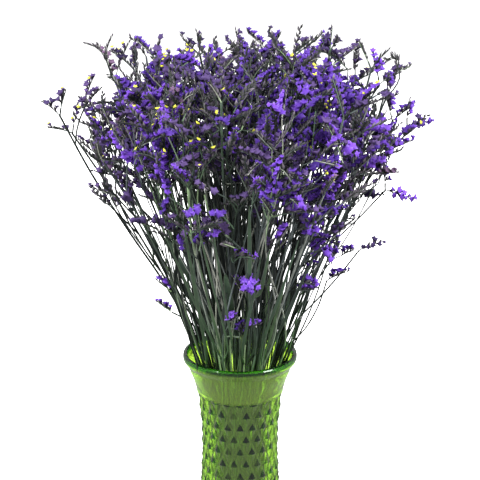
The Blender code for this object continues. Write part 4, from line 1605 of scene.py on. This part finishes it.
class Finish:
    """A material under construction, with short ways to add its nodes."""

    def __init__(self, name, roughness, **constants):
        self.material = bpy.data.materials.new(name)
        self.material.use_nodes = True
        self.tree = self.material.node_tree
        self.shader = self.tree.nodes["Principled BSDF"]
        self.shader.inputs["Roughness"].default_value = roughness
        for label, value in constants.items():
            self.shader.inputs[label.replace("_", " ")].default_value = value

    def place(self):
        return made(self.tree, "ShaderNodeTexCoord", "Object", {})

    def height(self):
        return made(self.tree, "ShaderNodeSeparateXYZ", "Z", {"Vector": self.place()})

    def attribute(self, label):
        return made(self.tree, "ShaderNodeAttribute", "Fac", {}, attribute_name=label)

    def noise(self, scale, detail=3.0, stretch=(1, 1, 1)):
        place = {"Vector": self.place(), "Scale": stretch}
        grain = {"Vector": made(self.tree, "ShaderNodeMapping", "Vector", place)}
        grain.update({"Scale": scale, "Detail": detail})
        return made(self.tree, "ShaderNodeTexNoise", "Fac", grain)

    def ramp(self, factor, *stops):
        """A colour that runs through stops of (place, colour)."""
        colour = made(self.tree, "ShaderNodeValToRGB", "Color", {"Fac": factor})
        elements = colour.node.color_ramp.elements
        while len(elements) < len(stops):
            elements.new(0.5)
        for element, (place, shade) in zip(elements, stops):
            element.position = place
            element.color = (*shade, 1)
        return colour

    def mask(self, factor, low, high, least=0.0, most=1.0):
        """A share that runs from least to most as the factor goes from low to high."""
        return self.ramp(factor, (low, (least,) * 3), (high, (most,) * 3))

    def mix(self, factor, a, b, blend="MIX"):
        a, b = ((*value, 1) if isinstance(value, tuple) else value for value in (a, b))
        inputs = {0: factor, 6: a, 7: b}
        return made(self.tree, "ShaderNodeMix", 2, inputs, data_type="RGBA", blend_type=blend)

    def tinted(self, colour, tint):
        return self.mix(1.0, colour, tint, "MULTIPLY")

    def shaded_greener_low(self, colour):
        """The colour, darker and greener near the vase's mouth: painted shade of the crowded neck, with a
        greener tint.
        """
        span = {"Value": self.height(), "From Min": NECK_SHADE_BELOW, "From Max": NECK_SHADE_ABOVE}
        rise = made(self.tree, "ShaderNodeMapRange", "Result", span)
        return self.tinted(colour, self.mix(rise, NECK_SHADE_TINT, (1, 1, 1)))

    def bump(self, height, strength, distance):
        inputs = {"Height": height, "Strength": strength, "Distance": distance}
        normal = made(self.tree, "ShaderNodeBump", "Normal", inputs)
        self.tree.links.new(normal, self.shader.inputs["Normal"])

    def colour(self, output):
        self.tree.links.new(output, self.shader.inputs["Base Color"])


def stalk_finish():
    """Dry wiry stalk: dark grey-green, some browner or paler, streaked along its length."""
    finish = Finish("dry_grey_green_stalk", 0.75, Specular_IOR_Level=0.2)
    by_stem = finish.ramp(
        finish.attribute("shade"),
        (0.0, (0.006, 0.008, 0.007)),
        (0.30, (0.037, 0.048, 0.046)),
        (0.65, (0.215, 0.253, 0.256)),
        (1.0, (0.760, 0.770, 0.650)),
    )
    streaks = finish.noise(220, 4, (1, 1, 0.15))
    patches = finish.mask(finish.noise(11, 1, (1, 1, 0.4)), 0.50, 0.62)
    body = finish.mix(patches, by_stem, finish.tinted(by_stem, (0.80, 1.12, 0.66)))
    # Painted shade, with a greener tint, near the vase's mouth
    finish.colour(finish.shaded_greener_low(finish.mix(streaks, body, (0.018, 0.023, 0.020))))
    finish.bump(streaks, 0.4, 0.0003)
    return finish.material


def blade_finish():
    """Dry leaf blade: blue-green to brown-green, with fine ribs and a paler edge."""
    finish = Finish("dry_leaf_blade", 0.65, Specular_IOR_Level=0.25)
    by_leaf = finish.ramp(
        finish.attribute("shade"),
        (0.0, (0.010, 0.013, 0.012)),
        (0.40, (0.038, 0.049, 0.051)),
        (0.70, (0.060, 0.115, 0.065)),
        (1.0, (0.150, 0.250, 0.105)),
    )
    ribs = finish.noise(160, 3, (1, 1, 0.1))
    body = finish.mix(ribs, by_leaf, (0.019, 0.026, 0.023))
    edge = finish.mask(finish.attribute("age"), 0.78, 0.95, most=0.7)
    # Painted shade, with a greener tint, near the vase's mouth
    finish.colour(finish.shaded_greener_low(finish.mix(edge, body, (0.150, 0.165, 0.125))))
    finish.bump(ribs, 0.5, 0.0003)
    return finish.material


def floret_finish():
    """Papery calyx: dark green tube, violet rim that pales at its edge, duller on old spikes."""
    finish = Finish("violet_papery_calyx", 0.65, Specular_IOR_Level=0.2)
    rim = finish.attribute("rim")
    fresh = finish.ramp(
        rim,
        (0.0, (0.030, 0.034, 0.022)),
        (0.42, (0.045, 0.026, 0.085)),
        (0.62, (0.090, 0.025, 0.360)),
        (0.85, (0.164, 0.062, 0.560)),
        (1.0, (0.315, 0.210, 0.710)),
    )
    dusky = finish.ramp(
        rim, (0.0, (0.030, 0.031, 0.026)), (0.50, (0.044, 0.034, 0.058)), (1.0, (0.106, 0.070, 0.200))
    )
    faded = finish.ramp(
        rim, (0.0, (0.035, 0.035, 0.025)), (0.55, (0.080, 0.050, 0.070)), (1.0, (0.230, 0.140, 0.260))
    )
    age = finish.attribute("age")
    duller = finish.mask(age, DULL_AGE - 0.1, DULL_AGE + 0.1, most=0.9)
    older = finish.mask(age, 0.93, 0.98, most=0.8)
    colour = finish.mix(older, finish.mix(duller, fresh, dusky), faded)
    # The shade attribute holds each floret's random tone and the painted shade of spikes deep in the bunch
    lightness = finish.ramp(finish.attribute("shade"), (0.0, (0.45, 0.45, 0.50)), (1.0, (1.40, 1.36, 1.20)))
    colour = finish.tinted(colour, lightness)
    crumple = finish.noise(900, 3)
    finish.colour(finish.mix(crumple, colour, finish.tinted(colour, (0.55, 0.50, 0.62))))
    finish.bump(crumple, 0.5, 0.0004)
    return finish.material


def bract_finish():
    """Dry scale under each floret: brown-green, darker at its foot."""
    finish = Finish("dry_bract", 0.80, Specular_IOR_Level=0.2)
    by_bract = finish.ramp(
        finish.attribute("shade"),
        (0.0, (0.026, 0.027, 0.026)),
        (0.55, (0.082, 0.070, 0.092)),
        (1.0, (0.235, 0.197, 0.245)),
    )
    finish.colour(finish.mix(finish.attribute("rim"), (0.030, 0.038, 0.026), by_bract))
    finish.bump(finish.noise(600, 3), 0.4, 0.0003)
    return finish.material


def corolla_finish():
    """Bright yellow corolla, deeper at its throat."""
    finish = Finish("bright_yellow_corolla", 0.55)
    throat = finish.ramp(finish.attribute("rim"), (0.90, (0.55, 0.42, 0.02)), (1.08, (0.88, 0.82, 0.03)))
    finish.colour(finish.mix(finish.noise(500, 2), throat, (0.80, 0.86, 0.10)))
    return finish.material


def glass_finish():
    """Pressed glass tinted yellow-green, dark in its rolled rim, with the dark stems behind painted onto
    the upper facets of its cuts.
    """
    coats = {"Specular_IOR_Level": 0.10, "Coat_Weight": 0.03, "Coat_Roughness": 0.03}
    finish = Finish("green_pressed_glass", 0.08, Transmission_Weight=0.88, IOR=1.50, **coats)
    tree = finish.tree
    pitch = (BELT_TOP - BELT_BOTTOM) / DIAMOND_ROWS
    p, q = cut_offsets(tree, finish.place(), float(DIAMONDS_AROUND), BELT_BOTTOM, pitch)
    # The upper facets are painted dark in patches: a painted refraction of the dark stems behind the glass
    above = sum_of(tree, "SUBTRACT", p, q)
    beside_tip = sum_of(tree, "ABSOLUTE", sum_of(tree, "ADD", p, q))
    slope = sum_of(tree, "SUBTRACT", FACET_WIDTH, sum_of(tree, "MULTIPLY", above, FACET_SLOPE))
    above_base = sum_of(tree, "ADD", above, FACET_BASE)
    inside = sum_of(tree, "MINIMUM", sum_of(tree, "SUBTRACT", slope, beside_tip), above_base)
    painted_dark_facet = sum_of(tree, "MULTIPLY", sum_of(tree, "MULTIPLY", inside, FACET_EDGE), finish.attribute("cut"))
    depth = finish.mask(finish.noise(FACET_PATCHES, 1), 0.35, 0.48, least=0.6)
    painted_dark_facet = finish.tinted(finish.mask(painted_dark_facet, 0.0, 1.0), depth)
    lip = sum_of(tree, "MULTIPLY", sum_of(tree, "SUBTRACT", finish.height(), LIP_BOTTOM), LIP_EDGE)
    uneven = finish.noise(30, 2)
    smooth = finish.mix(uneven, (0.445, 0.62, 0.15), (0.365, 0.535, 0.11))
    ground = finish.mix(uneven, (0.262, 0.415, 0.094), (0.210, 0.348, 0.061))
    wall = finish.mix(finish.attribute("cut"), smooth, ground)
    wall = finish.mix(painted_dark_facet, wall, (0.001, 0.014, 0.001))
    finish.colour(finish.mix(finish.mask(lip, 0.0, 1.0), wall, (0.003, 0.038, 0.002)))
    finish.bump(finish.noise(40, 1), 0.10, 0.0005)
    absorbed = {"Color": (0.75, 0.90, 0.0, 1), "Density": 300.0}
    tint = made(tree, "ShaderNodeVolumeAbsorption", "Volume", absorbed)
    tree.links.new(tint, tree.nodes["Material Output"].inputs["Volume"])
    return finish.material


def plain_floor():
    """A pale floor, wide enough to be every view's background, that throws no light up into the bunch."""
    half = FLOOR_SIZE / 2
    mesh = bpy.data.meshes.new("floor")
    corners = ((-half, -half, 0), (half, -half, 0), (half, half, 0), (-half, half, 0))
    mesh.from_pydata(corners, [], [(0, 1, 2, 3)])
    white = (1, 1, 1, 1)
    pale = (0.85, 0.85, 0.85, 1)
    finish = Finish("pale_floor", 0.9, Base_Color=pale, Emission_Color=white, Emission_Strength=0.45)
    mesh.materials.append(finish.material)
    floor = placed("floor", mesh)
    floor.visible_diffuse = False
    floor.visible_glossy = False


def studio():
    """Camera at the photograph's place, an even world, a large soft lamp on each side and one behind."""
    scene = bpy.context.scene
    camera = placed("camera", bpy.data.cameras.new("camera"))
    camera.data.sensor_width = SENSOR_WIDTH
    camera.data.lens = LENS
    camera.location = CAMERA_PLACE
    camera.rotation_euler = (math.radians(CAMERA_TILT), 0, 0)
    scene.camera = camera
    world = bpy.data.worlds.new("studio")
    world.use_nodes = True
    sky = world.node_tree.nodes["Background"].inputs
    sky["Color"].default_value = (1, 1, 1, 1)
    sky["Strength"].default_value = WORLD_STRENGTH
    scene.world = world
    for name, place, power, seen_in_gloss in LAMPS:
        lamp = placed(name, bpy.data.lights.new(name, "AREA"))
        lamp.data.size = LAMP_SIZE
        lamp.data.energy = power
        lamp.location = place
        lamp.rotation_euler = (Vector(place) - LAMPS_AIM).to_track_quat("Z", "Y").to_euler()
        lamp.visible_glossy = seen_in_gloss
        lamp.visible_transmission = seen_in_gloss
    scene.view_settings.view_transform = "Standard"


def build_vase():
    values = {
        "Diamonds around": float(DIAMONDS_AROUND),
        "Belt bottom": BELT_BOTTOM,
        "Row pitch": (BELT_TOP - BELT_BOTTOM) / DIAMOND_ROWS,
        "Depth": RELIEF,
    }
    vase = grown(vase_blank(), vase_tree(glass_finish()), values)
    vase.data.shade_smooth()
    vase.data.set_sharp_from_angle(angle=SHARP_ANGLE)
    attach(vase, "root")
    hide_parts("vase")


def build_sprays():
    finishes = {
        STEM: stalk_finish(),
        BLADE: blade_finish(),
        FLORET: floret_finish(),
        BRACT: bract_finish(),
        COROLLA: corolla_finish(),
    }
    finishes[HALF_OPEN] = finishes[FLORET]
    finishes[BUD] = finishes[BRACT]
    forms = small_forms()
    tree = spray_tree(finishes)
    values = {label: forms[kind] for kind, label in FORM_LABELS.items()}
    values["Stem sides"] = STEM_SIDES
    for k, dressing in enumerate(dress_bunch()):
        rng = random.Random(FINE_SEED * 1000 + k)
        skeleton = Skeleton()
        for stem in dressing.stems:
            skeleton.stem(*stem)
        for spike in dressing.spikes:
            skeleton.spike(*spike, rng)
        for blade in dressing.blades:
            skeleton.blade(*blade, rng)
        spray = grown(skeleton.object(f"statice_{k + 1:02d}"), tree, values)
        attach(spray, "root")
        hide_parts(f"spray_{k + 1:02d}")
    for form in forms.values():
        bpy.data.objects.remove(form)


build_vase()
build_sprays()
plain_floor()
studio()
